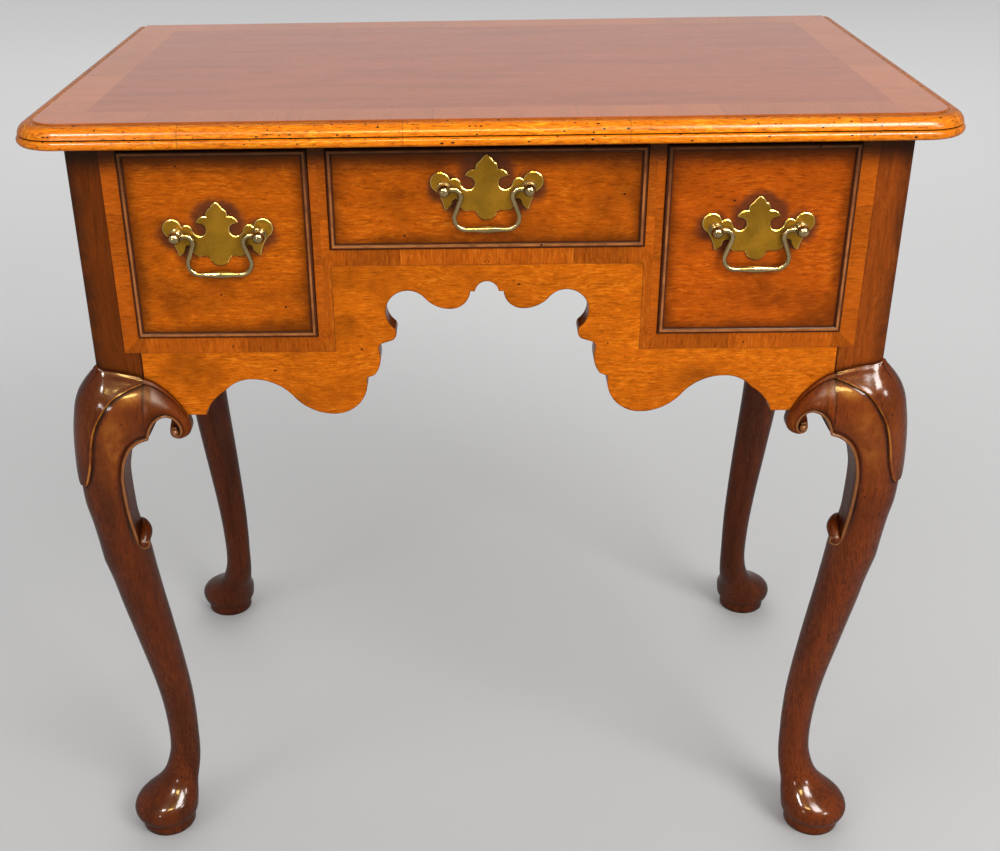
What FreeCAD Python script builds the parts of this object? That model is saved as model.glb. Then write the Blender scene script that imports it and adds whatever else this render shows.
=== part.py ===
import FreeCAD, Part
import math
import os
import re
import Sketcher

# Lowboy: a small walnut dressing table on cabriole legs, with a shaped apron and three drawers.
# Millimetres. X runs left to right, Y from the front to the back, Z up from the floor.
# The origin is on the floor, under the middle of the whole piece.

Vector = FreeCAD.Vector
X_AXIS, Y_AXIS, Z_AXIS = Vector(1, 0, 0), Vector(0, 1, 0), Vector(0, 0, 1)

# ---------------------------------------------------------------- driving dimensions

SIZES = {
    # the whole piece
    "height": 714,
    "case_width": 660,
    "case_depth": 400,
    "post_width": 40,
    # top
    "overhang": 34,              # past the case at the front and both ends
    "rear_overhang": 9,
    "top_thickness": 18,
    "top_corner": 36,            # radius of the two front corners
    "top_border": 36,            # crossbanding on the top
    "veneer": 1,
    "moulding_width": 15,
    "moulding_bead": 7.6,        # half-round under the ovolo
    "moulding_quirk": 1.5,
    "ovolo_fullness": 0.72,      # how far its middle stands out, as a share of its size
    # front of the case
    "top_rail": 8,
    "rail_depth": 60,
    "divider_width": 13.4,
    "divider_depth": 19,
    "centre_opening": 252.6,
    "centre_drop": 82.6,         # height of the centre opening
    "side_drop": 157.4,          # height of the side openings
    "band_width": 13.2,          # crossbanding round the openings
    "apron_board": 18,           # behind the face veneer
    "apron_drop": 71.1,          # apron under the side openings
    # sides, back and inside
    "back_thickness": 14,
    "back_rise": 10.5,           # back panel's lower edge above the apron's
    "side_arch": 20,             # rise of the side panels' lower edge
    "side_arch_margin": 70,      # straight stretch beside each post
    "ogee_bend": 0.08,           # how far the arch's ends curve, as a share of their step
    "partition_thickness": 11.4,
    "runner_width": 18,
    "runner_height": 20,
    "guide_rise": 20,            # guide above the runner
    "kicker_width": 30,
    "stop_width": 40,
    "stop_height": 24,
    "stop_gap": 0.3,
    "stop_depth": 35.7,          # from the back panel to the closed drawers
    "glue_block": 20,
    "glue_block_length": 60,
    # drawers
    "drawer_gap": 0.6,           # round the front, inside its opening
    "front_thickness": 20,
    "bead_width": 4.7,
    "bead_depth": 10,
    "bead_proud": 2.5,
    "bead_round": 2.2,
    "side_inset": 0.9,           # drawer side inside the front's end
    "lining": 9,                 # thickness of the drawer sides
    "side_below_top": 3,
    "back_lining": 8,
    "back_below_side": 6,
    "floor_thickness": 6.5,
    "floor_rise": 5,
    "floor_groove": 4,
    "lap": 2,                    # wood left between the cockbeading and the dovetails
    "tail_share": 0.62,          # tail root over tail pitch
    "tail_flare": 2.2,           # tail end wider than its root, each edge
    # handles
    "boring": 67,                # between the two handle posts
    "side_handle_rise": 88.8,    # above the drawer front's lower edge
    "centre_handle_rise": 49.5,
    "plate_thickness": 1.6,
    "shank_radius": 2.4,
    "shank_length": 25,          # from the drawer's face inwards
    "shank_clearance": 0.1,
    "collar_radius": 5.4,
    "collar_height": 1.1,
    "boss_radius": 4.5,
    "boss_length": 5,
    "finial_neck": 2.5,
    "finial_radius": 3.7,
    "nut_width": 9,
    "nut_height": 3,
    "bail_stand": 5.2,           # hinge axis in front of the drawer's face
    "bail_radius": 2,
    "bail_drop": 32.4,
    "bail_shoulder": 0.7,        # rod short of the boss
    "bail_waist": 18.6,          # half width at the inner bend
    "bail_spread": 27.5,         # half width at the lower corners
    "bail_neck_bend": 4.2,
    "bail_corner_bend": 9,
    "grip_radius": 2.9,
    "grip_length": 28,
    "pin_radius": 1.5,
    "pin_length": 2.8,           # inside the boss
    "pin_clearance": 0.05,
    # knee brackets and legs
    "bracket_length": 38.5,
    "bracket_depth": 29.5,       # below the apron, past the brackets' lowest point
    "belly_out": 0.78,           # a bracket's belly, as a share of its bulge
    "belly_drop": 0.42,          # and of its height, from the top
    "bracket_heel": 0.8,         # its lower edge, as a share of its bulge
    "post_tail": 19.5,           # square post below the apron's edge, inside the knee
    "sole_radius": 26.5,
    "sole_height": 11.3,
    "sole_offset": 15,
}

# Stations up the leg: level, outer and inner face from the post's axis, then the radius of the
# outer corner and of the other three as shares of the half width. Both faces of the square blank
# share the same curve. The foot's levels are heights above the floor.
FOOT_STATIONS = {
    "foot_low": (11, 44.2, -14.2, 0.97, 0.97),
    "foot_wide": (22, 48.9, -19.1, 0.97, 0.97),
    "foot_high": (32, 45.3, -19.5, 0.97, 0.97),
    "instep": (42, 32, -18, 0.97, 0.97),
    "foot_neck": (52, 19.5, -17.8, 0.97, 0.97),
    "ankle_low": (66, 12.2, -19.4, 0.97, 0.97),
}

# Above the foot a level is a share of the way from the ankle's lowest station up to the apron.
LEG_STATIONS = {
    "ankle": (0.081, 8.5, -19.9, 0.97, 0.97),
    "shin": (0.214, 11.9, -19.3, 0.97, 0.97),
    "mid_leg": (0.366, 20.8, -15.2, 0.97, 0.97),
    "calf": (0.518, 30.4, -9.6, 0.97, 0.97),
    "under_knee": (0.646, 38.3, -5.4, 0.97, 0.97),
    "knee_low": (0.752, 43.5, 1, 0.95, 0.95),
    "knee": (0.856, 49.4, 3.6, 0.9, 0.9),
    "knee_high": (0.907, 49, -3, 0.86, 0.7),
    "knee_back": (0.945, 47.4, -14, 0.8, 0.4),
    "shoulder": (1.006, 43.4, -16, 0.68, 0.25),
    "shoulder_high": (1.062, 36, -16, 0.58, 0.25),
    "knee_top": (1.121, 22, -16, 0.5, 0.25),
    "knee_end": (1.154, 12, -14, 0.5, 0.25),
}

# Sections of a knee bracket: place along it as a share of its length, then its top, its bulge in
# front of the case and its chin. Heights are above the apron's lower edge.
BRACKET_SECTIONS = {
    "bracket_root": (0, 36.5, 26.5, -18.5),
    "bracket_middle": (0.5, 23.5, 14, -14.5),
    "bracket_tip": (1.03, 4.5, 4.5, -10.5),
}

# ---------------------------------------------------------------- places worked out from them

PLACES = {
    "case_top": "height - top_thickness",
    "knee_reach": "knee_outer - post_width / 2",
    "front": "(overhang - case_depth - knee_reach) / 2",
    "back": "front + case_depth",
    "top_half": "case_width / 2 + overhang",
    "top_back": "back + rear_overhang",
    "top_depth": "case_depth + overhang + rear_overhang",
    "post_inner": "case_width / 2 - post_width",
    "post_axis": "case_width / 2 - post_width / 2",
    "frame_depth": "veneer + apron_board",
    "panel_inner": "case_width / 2 - frame_depth",
    "panel_length": "case_depth - 2 * post_width",
    "back_inner": "back - back_thickness",
    "opening_top": "case_top - top_rail",
    "centre_bottom": "opening_top - centre_drop",
    "side_bottom": "opening_top - side_drop",
    "apron_bottom": "side_bottom - apron_drop",
    "back_bottom": "apron_bottom + back_rise",
    "post_foot": "apron_bottom - post_tail",
    "leg_rise": "apron_bottom - ankle_low_level",
    "divider_inner": "centre_opening / 2",
    "divider_outer": "divider_inner + divider_width",
    "side_opening": "post_inner - divider_outer",
    "side_centre": "(post_inner + divider_outer) / 2",
    "centre_width": "centre_opening - 2 * drawer_gap",
    "centre_height": "centre_drop - 2 * drawer_gap",
    "side_width": "side_opening - 2 * drawer_gap",
    "side_height": "side_drop - 2 * drawer_gap",
    "partition_inner": "divider_inner + (divider_width - partition_thickness) / 2",
    "partition_outer": "partition_inner + partition_thickness",
    "partition_front": "front + divider_depth",
    "partition_length": "back_inner - partition_front",
    "runner_front": "front + frame_depth",
    "drawer_length": "case_depth - back_thickness - stop_depth - stop_gap",
    "drawer_end": "front + drawer_length",
    "tail_end": "bead_depth + lap",
    "boss_face": "plate_thickness + collar_height",
    "finial_start": "boss_face + boss_length",
    "bail_shoulder_place": "boring / 2 - boss_radius - bail_shoulder",
}

SAME_PLACE = 1e-6                # points closer than this are one

# the sizes that the sawn patterns are drawn for
APRON_PATTERN_HALF, APRON_PATTERN_RISE = 290, 145.9
BRACKET_PATTERN_LENGTH = 38.5
PLATE_PATTERN_BORING = 67

document = FreeCAD.newDocument("lowboy")
nodes = []


def expression(text, home=""):
    """Turn plain names into references to the two sheets; home is the sheet it is written in."""
    def reference(match):
        name = match.group(0)
        if name in SIZES:
            return "Sizes." + name
        return home + name if name in PLACES else name
    return re.sub(r"[a-z]\w*", reference, text)


def make_sheets():
    """Sizes holds the driving numbers, Places what follows from them."""
    sheet = document.addObject("Spreadsheet::Sheet", "Sizes")
    for row, (name, value) in enumerate(SIZES.items(), 1):
        sheet.set("A%d" % row, name)
        sheet.set("B%d" % row, str(value))
        sheet.setAlias("B%d" % row, name)
    places = document.addObject("Spreadsheet::Sheet", "Places")
    document.recompute()
    for row, (name, text) in enumerate(PLACES.items(), 1):
        places.set("A%d" % row, name)
        places.set("B%d" % row, "=" + expression(text))
        places.setAlias("B%d" % row, name)
    document.recompute()
    return sheet, places


STATION_SIZES = ("_level", "_outer", "_inner", "_outer_round", "_inner_round")
BRACKET_SIZES = ("_place", "_top", "_bulge", "_chin")
for table, suffixes in ((FOOT_STATIONS, STATION_SIZES), (LEG_STATIONS, STATION_SIZES),
                        (BRACKET_SECTIONS, BRACKET_SIZES)):
    for station, numbers in table.items():
        SIZES.update({station + suffix: number for suffix, number in zip(suffixes, numbers)})

sizes, places = make_sheets()


def size(name):
    """The number in a cell of either sheet."""
    return float((sizes if name in SIZES else places).get(name))


# ---------------------------------------------------------------- making pieces

def bind(thing, prop, text):
    thing.setExpression(prop, expression(text, "Places."))


def place(thing, corner):
    """Bind the placement of a piece to three expressions."""
    for axis, text in zip("xyz", corner):
        bind(thing, "Placement.Base." + axis, text)
    return thing


def node(thing, label):
    """A finished piece, written to a file of its own."""
    thing.Label = label
    nodes.append(thing)
    return thing


def box(label, corner, lengths):
    block = document.addObject("Part::Box", label)
    for prop, text in zip(("Length", "Width", "Height"), lengths):
        bind(block, prop, text)
    return place(block, corner)


def rod(label, start, radius, length, direction):
    cylinder = document.addObject("Part::Cylinder", label)
    cylinder.Placement.Rotation = FreeCAD.Rotation(Z_AXIS, direction)
    bind(cylinder, "Radius", radius)
    bind(cylinder, "Height", length)
    return place(cylinder, start)


def cut(label, base, *tools):
    """Base less every tool."""
    result = document.addObject("Part::Cut", label)
    result.Base = base
    result.Tool = tools[0] if len(tools) == 1 else fuse(label + "_tools", *tools)
    return result


def fuse(label, *pieces):
    result = document.addObject("Part::MultiFuse", label)
    result.Shapes = list(pieces)
    return result


def group(label, *pieces):
    """Separate solids that share one file."""
    result = document.addObject("Part::Compound", label)
    result.Links = list(pieces)
    return result


def mirror(label, source, normal=X_AXIS):
    """The same piece on the other side of the middle; X for left and right."""
    result = document.addObject("Part::Mirroring", label)
    result.Source = source
    result.Normal = normal
    return result


def new_body(label):
    return document.addObject("PartDesign::Body", label)


def origin_plane(body, role):
    return [feature for feature in body.Origin.OriginFeatures if feature.Role == role][0]


def new_sketch(body, role, offset="0"):
    """A sketch on one of the body's own planes, moved along its normal by an expression."""
    sketch = body.newObject("Sketcher::SketchObject", "Sketch")
    sketch.AttachmentSupport = [(origin_plane(body, role), "")]
    sketch.MapMode = "FlatFace"
    bind(sketch, "AttachmentOffset.Base.z", offset)
    return sketch


def arc(via, end):
    """An arc in an outline, through one middle point."""
    return ("arc", via, end)


def end_of(step):
    return step[2] if step[0] == "arc" else step


def mirrored(half):
    """Close an outline that starts and ends on the middle line, with its mirror image."""
    flip = lambda point: (-point[0], point[1])
    back = []
    for here, before in zip(reversed(half[1:]), reversed(half[:-1])):
        target = flip(end_of(before))
        back.append(arc(flip(here[1]), target) if here[0] == "arc" else target)
    return half + back


def fitted(outline, across, up):
    """A pattern stretched sideways and upwards."""
    stretch = lambda point: (point[0] * across, point[1] * up)
    return [arc(stretch(step[1]), stretch(step[2])) if step[0] == "arc" else stretch(step)
            for step in outline]


def draw(sketch, outline, closed=True):
    """Lines and arcs through an outline, end to end, each one blocked where the sizes put it."""
    corner = lambda point: Vector(point[0], point[1], 0)
    start = here = corner(outline[0])
    steps = list(outline[1:])
    if closed and (corner(end_of(steps[-1])) - start).Length > SAME_PLACE:
        steps.append(outline[0])
    for step in steps:
        there = corner(end_of(step))
        edge = Part.Arc(here, corner(step[1]), there) if step[0] == "arc" else Part.LineSegment(here, there)
        sketch.addConstraint(Sketcher.Constraint("Block", sketch.addGeometry(edge)))
        here = there


def draw_circle(sketch, centre, radius):
    """A circle with its centre and its radius bound."""
    index = sketch.addGeometry(Part.Circle(Vector(0, 0, 0), Z_AXIS, 1))
    for kind, text in (("DistanceX", centre[0]), ("DistanceY", centre[1])):
        number = sketch.addConstraint(Sketcher.Constraint(kind, -1, 1, index, 3, 0))
        bind(sketch, "Constraints[%d]" % number, text)
    number = sketch.addConstraint(Sketcher.Constraint("Radius", index, 1))
    bind(sketch, "Constraints[%d]" % number, radius)


def pad(body, sketch, length, reverse=False):
    feature = body.newObject("PartDesign::Pad", "Pad")
    feature.Profile = sketch
    feature.Reversed = reverse
    bind(feature, "Length", length)
    return feature


def shaped_board(label, role, outline, thickness, corner, reverse=False):
    """A board sawn to an outline. XZ boards grow towards the front unless reversed."""
    body = new_body(label)
    sketch = new_sketch(body, role)
    draw(sketch, outline)
    pad(body, sketch, thickness, reverse)
    return place(body, corner)


# ---------------------------------------------------------------- top

def corner_swing(corner):
    """How far the middle of a rounded corner stays inside its square corner."""
    return corner * (1 - math.sqrt(0.5))


def rounded_front(half, depth, corner):
    """A top's plan: square at the back, rounded at the two front corners."""
    swing = corner_swing(corner)
    right = [(0, 0), (half, 0), (half, -depth + corner),
             arc((half - swing, -depth + swing), (half - corner, -depth)), (0, -depth)]
    return mirrored(right)


def make_top():
    half = size("top_half") - size("moulding_width")
    depth = size("top_depth") - size("moulding_width")
    corner = size("top_corner") - size("moulding_width")
    border = size("top_border")
    ground = ("0", "top_back", "case_top")
    surface = ("0", "top_back", "height - veneer")

    plan = rounded_front(half, depth, corner)
    node(shaped_board("top_core", "XY_Plane", plan, "top_thickness - veneer", ground), "top_core")

    field = [(half - border, -border), (half - border, border - depth),
             (border - half, border - depth), (border - half, -border)]
    node(shaped_board("top_field_veneer", "XY_Plane", field, "veneer", surface), "top_field_veneer")

    # four mitred strips; the two front mitres run out at the middle of the rounded corners
    swing = corner_swing(corner)
    mitre = (half - swing, swing - depth)
    late = corner * math.sin(math.pi / 8)
    early = corner * math.cos(math.pi / 8)
    front_half = [(0, border - depth), (half - border, border - depth), mitre,
                  arc((half - corner + late, corner - early - depth), (half - corner, -depth)),
                  (0, -depth)]
    end = [(half, 0), (half, corner - depth),
           arc((half - corner + early, corner - late - depth), mitre),
           (half - border, border - depth), (half - border, -border)]
    rear = [(half, 0), (half - border, -border), (border - half, -border), (-half, 0)]
    strips = [shaped_board("top_band_" + name, "XY_Plane", outline, "veneer", surface)
              for name, outline in (("front", mirrored(front_half)), ("right", end), ("rear", rear))]
    strips.append(mirror("top_band_left", strips[1]))
    node(group("top_crossbanding", *strips), "top_crossbanding")

    make_edge_moulding(half, depth, corner, ground)


def make_edge_moulding(half, depth, corner, ground):
    """The moulding's section run along both ends and the front, round the corners."""
    body = new_body("top_edge_moulding")
    path = new_sketch(body, "XY_Plane")
    swing = corner_swing(corner)
    draw(path, [(half, 0), (half, corner - depth),
                arc((half - swing, swing - depth), (half - corner, -depth)),
                (corner - half, -depth),
                arc((swing - half, swing - depth), (-half, corner - depth)), (-half, 0)], closed=False)
    wide, high = size("moulding_width"), size("top_thickness") - size("veneer")
    bead, quirk = size("moulding_bead"), size("moulding_quirk")
    nose = wide - bead / 2
    ovolo_out, ovolo_low = wide - quirk, bead + quirk / 2
    full = size("ovolo_fullness")
    ovolo = (quirk + (ovolo_out - quirk) * full, ovolo_low + (high - ovolo_low) * full)
    section = new_sketch(body, "XZ_Plane")
    profile = [(0, 0), (nose, 0), arc((wide, bead / 2), (nose, bead)), (ovolo_out, ovolo_low),
               arc(ovolo, (quirk, high - quirk / 4)), (quirk, high), (0, high)]
    draw(section, [arc((half + step[1][0], step[1][1]), (half + step[2][0], step[2][1]))
                   if step[0] == "arc" else (half + step[0], step[1]) for step in profile])
    pipe = body.newObject("PartDesign::AdditivePipe", "Moulding")
    pipe.Profile = section
    pipe.Spine = (path, ["Edge%d" % (number + 1) for number in range(5)])
    node(place(body, ground), "top_edge_moulding")


# ---------------------------------------------------------------- case

def apron_edge():
    """Right half of the apron's lower edge, from the middle notch out to the flat by the leg.

    Heights are above the apron's lowest line."""
    pattern = [(0, 118.1), arc((6.8, 115.3), (9.6, 109.5)), (13.6, 109.5),
               arc((18.7, 98.8), (30, 94.5)), arc((41.6, 97), (51.1, 104.3)),
               arc((77.9, 105.2), (76, 77.7)), arc((74.9, 73.2), (78.2, 67.3)), (85.6, 64.9),
               arc((88.9, 63), (90.2, 59.1)), arc((89.3, 47.4), (94.6, 35.9)), (101.4, 33.1),
               arc((109.5, 8.5), (130, 0)), arc((148.8, 4.3), (164, 16.4)),
               arc((179.2, 28.4), (198, 32.8)), arc((211.5, 30.2), (222, 22.5)), (240.5, 0)]
    rise = size("centre_bottom") - size("apron_bottom")
    return fitted(pattern, size("post_inner") / APRON_PATTERN_HALF, rise / APRON_PATTERN_RISE)


def apron_outline(side_top, centre_top, step):
    """The apron under its stepped upper edge; tops are heights above the lowest line."""
    inner = size("post_inner")
    half = apron_edge() + [(inner, 0), (inner, side_top), (step, side_top), (step, centre_top),
                           (0, centre_top)]
    return mirrored(half)


def make_front():
    low = size("apron_bottom")
    side, centre = size("side_bottom") - low, size("centre_bottom") - low
    band, veneer = size("band_width"), size("veneer")
    face = ("0", "front", "apron_bottom")

    board = apron_outline(side, centre, size("divider_outer"))
    node(shaped_board("front_apron", "XZ_Plane", board, "apron_board",
                      ("0", "front + veneer", "apron_bottom"), reverse=True), "front_apron")
    skin = apron_outline(side - band, centre - band, size("divider_inner"))
    node(shaped_board("front_apron_veneer", "XZ_Plane", skin, "veneer", face, reverse=True),
         "front_apron_veneer")

    # crossbanding, mitred at every lower corner
    top = size("opening_top") - low
    inner, outer, post = size("divider_inner"), size("divider_outer"), size("post_inner")
    strips = {
        "side_lower": [(inner, side - band), (outer, side), (post, side), (post + band, side - band)],
        "post": [(post, side), (post, top), (post + band, top), (post + band, side - band)],
        "divider": [(inner, side - band), (outer, side), (outer, top), (inner, top)],
        "centre_lower": [(-inner, centre - band), (-inner, centre), (inner, centre),
                         (inner, centre - band)],
    }
    bands = {name: shaped_board("band_" + name, "XZ_Plane", outline, "veneer", face, reverse=True)
             for name, outline in strips.items()}
    others = [mirror("band_left_" + name, bands[name]) for name in ("side_lower", "post", "divider")]
    node(group("front_crossbanding", *bands.values(), *others), "front_crossbanding")

    node(box("front_top_rail", ("-post_inner", "front", "opening_top"),
             ("2 * post_inner", "rail_depth", "top_rail")), "front_top_rail")
    right = box("divider_right", ("divider_inner", "front + veneer", "centre_bottom"),
                ("divider_width", "divider_depth - veneer", "centre_drop"))
    node(right, "front_divider_right")
    node(mirror("divider_left", right), "front_divider_left")


def ogee(start, end):
    """Two opposite arcs from start to end, the lower one hollow and the upper one round."""
    step_x, step_y = (end[0] - start[0]) / 2, (end[1] - start[1]) / 2
    early, late = 0.5 - size("ogee_bend"), 0.5 + size("ogee_bend")
    middle = (start[0] + step_x, start[1] + step_y)
    return [arc((start[0] + step_x * late, start[1] + step_y * early), middle),
            arc((middle[0] + step_x * early, middle[1] + step_y * late), end)]


def make_sides_and_back():
    low, rise = size("apron_bottom"), size("side_arch")
    length, margin = size("panel_length"), size("side_arch_margin")
    top = size("case_top") - low
    outline = [(0, 0), (margin, 0), *ogee((margin, 0), (margin + rise, rise)),
               (length - margin - rise, rise), *ogee((length - margin - rise, rise), (length - margin, 0)),
               (length, 0), (length, top), (0, top)]
    right = shaped_board("panel_right", "YZ_Plane", outline, "frame_depth",
                         ("panel_inner", "front + post_width", "apron_bottom"))
    node(right, "side_panel_right")
    node(mirror("panel_left", right), "side_panel_left")
    node(box("back_panel", ("-post_inner", "back_inner", "back_bottom"),
             ("2 * post_inner", "back_thickness", "case_top - back_bottom")), "back_panel")


def make_inside():
    partition = box("partition", ("partition_inner", "partition_front", "side_bottom - runner_height"),
                    ("partition_thickness", "partition_length", "side_drop + runner_height"))
    node(partition, "partition_right")
    node(mirror("partition_mirror", partition), "partition_left")

    # the runners start behind the apron and end at the back panel
    run = ("runner_width", "back_inner - runner_front", "runner_height")
    inner = box("runner_inner", ("partition_outer", "runner_front", "side_bottom - runner_height"), run)
    outer = box("runner_outer", ("post_inner - runner_width", "runner_front",
                                 "side_bottom - runner_height"), run)
    centre = box("runner_centre", ("partition_inner - runner_width", "runner_front",
                                   "centre_bottom - runner_height"), run)
    node(group("right_drawer_runners", inner, outer), "right_drawer_runners")
    node(group("left_drawer_runners", mirror("runner_inner_left", inner),
               mirror("runner_outer_left", outer)), "left_drawer_runners")
    node(group("centre_drawer_runners", centre, mirror("runner_centre_left", centre)),
         "centre_drawer_runners")

    guide = box("guide", ("post_inner", "front + post_width", "side_bottom - runner_height"),
                ("panel_inner - post_inner", "panel_length", "runner_height + guide_rise"))
    node(group("drawer_guides", guide, mirror("guide_left", guide)), "drawer_guides")

    # kickers hang under the top, over the drawers' sides
    reach = ("kicker_width", "back_inner - front - rail_depth", "top_rail")
    middle = "(partition_inner + partition_outer - kicker_width) / 2"
    over = box("kicker_partition", (middle, "front + rail_depth", "opening_top"), reach)
    by_panel = box("kicker_panel", ("post_inner - kicker_width", "front + rail_depth", "opening_top"),
                   reach)
    node(group("drawer_kickers", over, by_panel, mirror("kicker_partition_left", over),
               mirror("kicker_panel_left", by_panel)), "drawer_kickers")

    stop = ("stop_width", "stop_depth", "stop_height")
    at = "drawer_end + stop_gap"
    side = box("stop_side", ("side_centre - stop_width / 2", at, "side_bottom + 2 * stop_height"), stop)
    middle_stop = box("stop_centre", ("-stop_width / 2", at, "centre_bottom + stop_height"), stop)
    node(group("drawer_stops", side, mirror("stop_left", side), middle_stop), "drawer_stops")

    block = ("glue_block_length", "glue_block", "glue_block")
    wide = box("glue_side", ("side_centre - glue_block_length / 2", "back_inner - glue_block",
                             "case_top - glue_block"), block)
    mid = box("glue_centre", ("-glue_block_length / 2", "back_inner - glue_block",
                              "case_top - glue_block"), block)
    node(group("top_glue_blocks", wide, mirror("glue_left", wide), mid), "top_glue_blocks")


# ---------------------------------------------------------------- legs

def station_sketch(body, station):
    """A square with rounded corners at one height of the leg, every size bound to the sheet."""
    outer, inner = size(station + "_outer"), size(station + "_inner")
    half = (outer - inner) / 2
    round_out = half * size(station + "_outer_round")
    round_in = half * size(station + "_inner_round")
    level = "ankle_low_level + leg_rise * %s_level" if station in LEG_STATIONS else "%s_level"
    sketch = new_sketch(body, "XY_Plane", level % station)
    low, high = inner + round_in, outer - round_in
    sides = [((low, inner), (high, inner)), ((outer, low), (outer, outer - round_out)),
             ((outer - round_out, outer), (low, outer)), ((inner, high), (inner, low))]
    corners = [(high, low, round_in, -90), (outer - round_out, outer - round_out, round_out, 0),
               (low, high, round_in, 90), (low, low, round_in, 180)]
    for (start, end), (x, y, radius, angle) in zip(sides, corners):
        sketch.addGeometry(Part.LineSegment(Vector(*start, 0), Vector(*end, 0)))
        circle = Part.Circle(Vector(x, y, 0), Z_AXIS, radius)
        sketch.addGeometry(Part.ArcOfCircle(circle, math.radians(angle), math.radians(angle + 90)))
    for number in range(4):
        line, bend, following = 2 * number, 2 * number + 1, (2 * number + 2) % 8
        sketch.addConstraint(Sketcher.Constraint("Tangent", line, 2, bend, 1))
        sketch.addConstraint(Sketcher.Constraint("Tangent", bend, 2, following, 1))
        sketch.addConstraint(Sketcher.Constraint("Vertical" if number % 2 else "Horizontal", line))
    first_bend, outer_bend, third_bend, inner_bend = 1, 3, 5, 7
    sketch.addConstraint(Sketcher.Constraint("Equal", first_bend, third_bend))
    sketch.addConstraint(Sketcher.Constraint("Equal", first_bend, inner_bend))
    bottom, right, top, left = 0, 2, 4, 6
    outer_text, width_text = station + "_outer", "%s_outer - %s_inner" % (station, station)
    share = "(%s) / 2 * %s" % (width_text, station)
    for constraint, text in (
            (Sketcher.Constraint("DistanceX", -1, 1, right, 1, outer), outer_text),
            (Sketcher.Constraint("DistanceY", -1, 1, top, 1, outer), outer_text),
            (Sketcher.Constraint("DistanceX", left, 1, right, 1, outer - inner), width_text),
            (Sketcher.Constraint("DistanceY", bottom, 1, top, 1, outer - inner), width_text),
            (Sketcher.Constraint("Radius", outer_bend, round_out), share + "_outer_round"),
            (Sketcher.Constraint("Radius", first_bend, round_in), share + "_inner_round")):
        bind(sketch, "Constraints[%d]" % sketch.addConstraint(constraint), text)
    return sketch


def make_legs():
    """One cabriole leg with its post; the other three are its mirror images."""
    leg = new_body("leg_rear_right")
    stations = [station_sketch(leg, station) for station in (*FOOT_STATIONS, *LEG_STATIONS)]
    loft = leg.newObject("PartDesign::AdditiveLoft", "Cabriole")
    loft.Profile = stations[0]
    loft.Sections = stations[1:]
    sole = new_sketch(leg, "XY_Plane")
    draw_circle(sole, ("sole_offset", "sole_offset"), "sole_radius")
    pad(leg, sole, "sole_height")
    post = new_sketch(leg, "XY_Plane", "post_foot")
    half = size("post_width") / 2
    draw(post, [(-half, -half), (half, -half), (half, half), (-half, half)])
    pad(leg, post, "case_top - post_foot")
    place(leg, ("post_axis", "back - post_width / 2", "0"))
    node(leg, "leg_rear_right")
    node(mirror("leg_rear_left", leg), "leg_rear_left")

    # the front posts are rebated for the crossbanding
    blank = mirror("leg_front_blank", leg, Y_AXIS)
    bind(blank, "Base.y", "(front + back) / 2")
    rebate = box("post_rebate", ("post_inner", "front", "side_bottom - band_width"),
                 ("band_width", "veneer", "side_drop + band_width"))
    front = cut("leg_front_right", blank, rebate)
    node(front, "leg_front_right")
    node(mirror("leg_front_left", front), "leg_front_left")


def bracket_section(body, section):
    """Upright section of a knee bracket, its back on the case and its chin under the apron."""
    top, bulge, chin = (size(section + suffix) for suffix in ("_top", "_bulge", "_chin"))
    deep, floor = -size("frame_depth"), -size("bracket_depth")
    belly = (-bulge * size("belly_out"), top - (top - chin) * size("belly_drop"))
    sketch = new_sketch(body, "YZ_Plane", "-bracket_length * %s_place" % section)
    draw(sketch, [(0, top), arc(belly, (-bulge, chin)), (-bulge * size("bracket_heel"), floor),
                  (-deep, floor), (-deep, 0), (0, 0)])
    return sketch


def make_brackets():
    """Scroll-ended ears beside the knees: one on the front and one on the side of each front
    leg, and one on the side of each rear leg."""
    carved = new_body("ear_carved")
    sections = [bracket_section(carved, section) for section in BRACKET_SECTIONS]
    loft = carved.newObject("PartDesign::AdditiveLoft", "Ear")
    loft.Profile = sections[0]
    loft.Sections = sections[1:]
    place(carved, ("post_inner", "front", "apron_bottom"))

    pattern = [(0, 36), arc((-17, 26.5), (-34.5, 5.5)), arc((-38.5, -3.5), (-30, -16)),
               arc((-24.5, -18.7), (-19.5, -16)), arc((-18.4, -10.5), (-20.5, -6)), (-15, -2.5),
               arc((-5.5, -7), (0, -21))]
    stretch = size("bracket_length") / BRACKET_PATTERN_LENGTH
    sawn = fitted(pattern, stretch, stretch)
    depth = "frame_depth + 2 * knee_reach"
    ear = shaped_board("ear_sawn", "XZ_Plane", sawn, depth,
                       ("post_inner", "front + frame_depth", "apron_bottom"))
    front_ear = document.addObject("Part::Common", "ear_front_right")
    front_ear.Base = carved
    front_ear.Tool = ear

    # the side ear is the front one turned over the corner's diagonal
    side_ear = mirror("ear_side_right", front_ear, Vector(1, 1, 0))
    bind(side_ear, "Base.x", "post_axis")
    bind(side_ear, "Base.y", "front + post_width / 2")
    rear_ear = mirror("ear_rear_right", side_ear, Y_AXIS)
    bind(rear_ear, "Base.y", "(front + back) / 2")

    node(group("knee_brackets_front_right", front_ear, side_ear), "knee_brackets_front_right")
    node(group("knee_brackets_front_left", mirror("ear_front_left", front_ear),
               mirror("ear_side_left", side_ear)), "knee_brackets_front_left")
    node(group("knee_brackets_rear", rear_ear, mirror("ear_rear_left", rear_ear)),
         "knee_brackets_rear")


# ---------------------------------------------------------------- drawers

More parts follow.
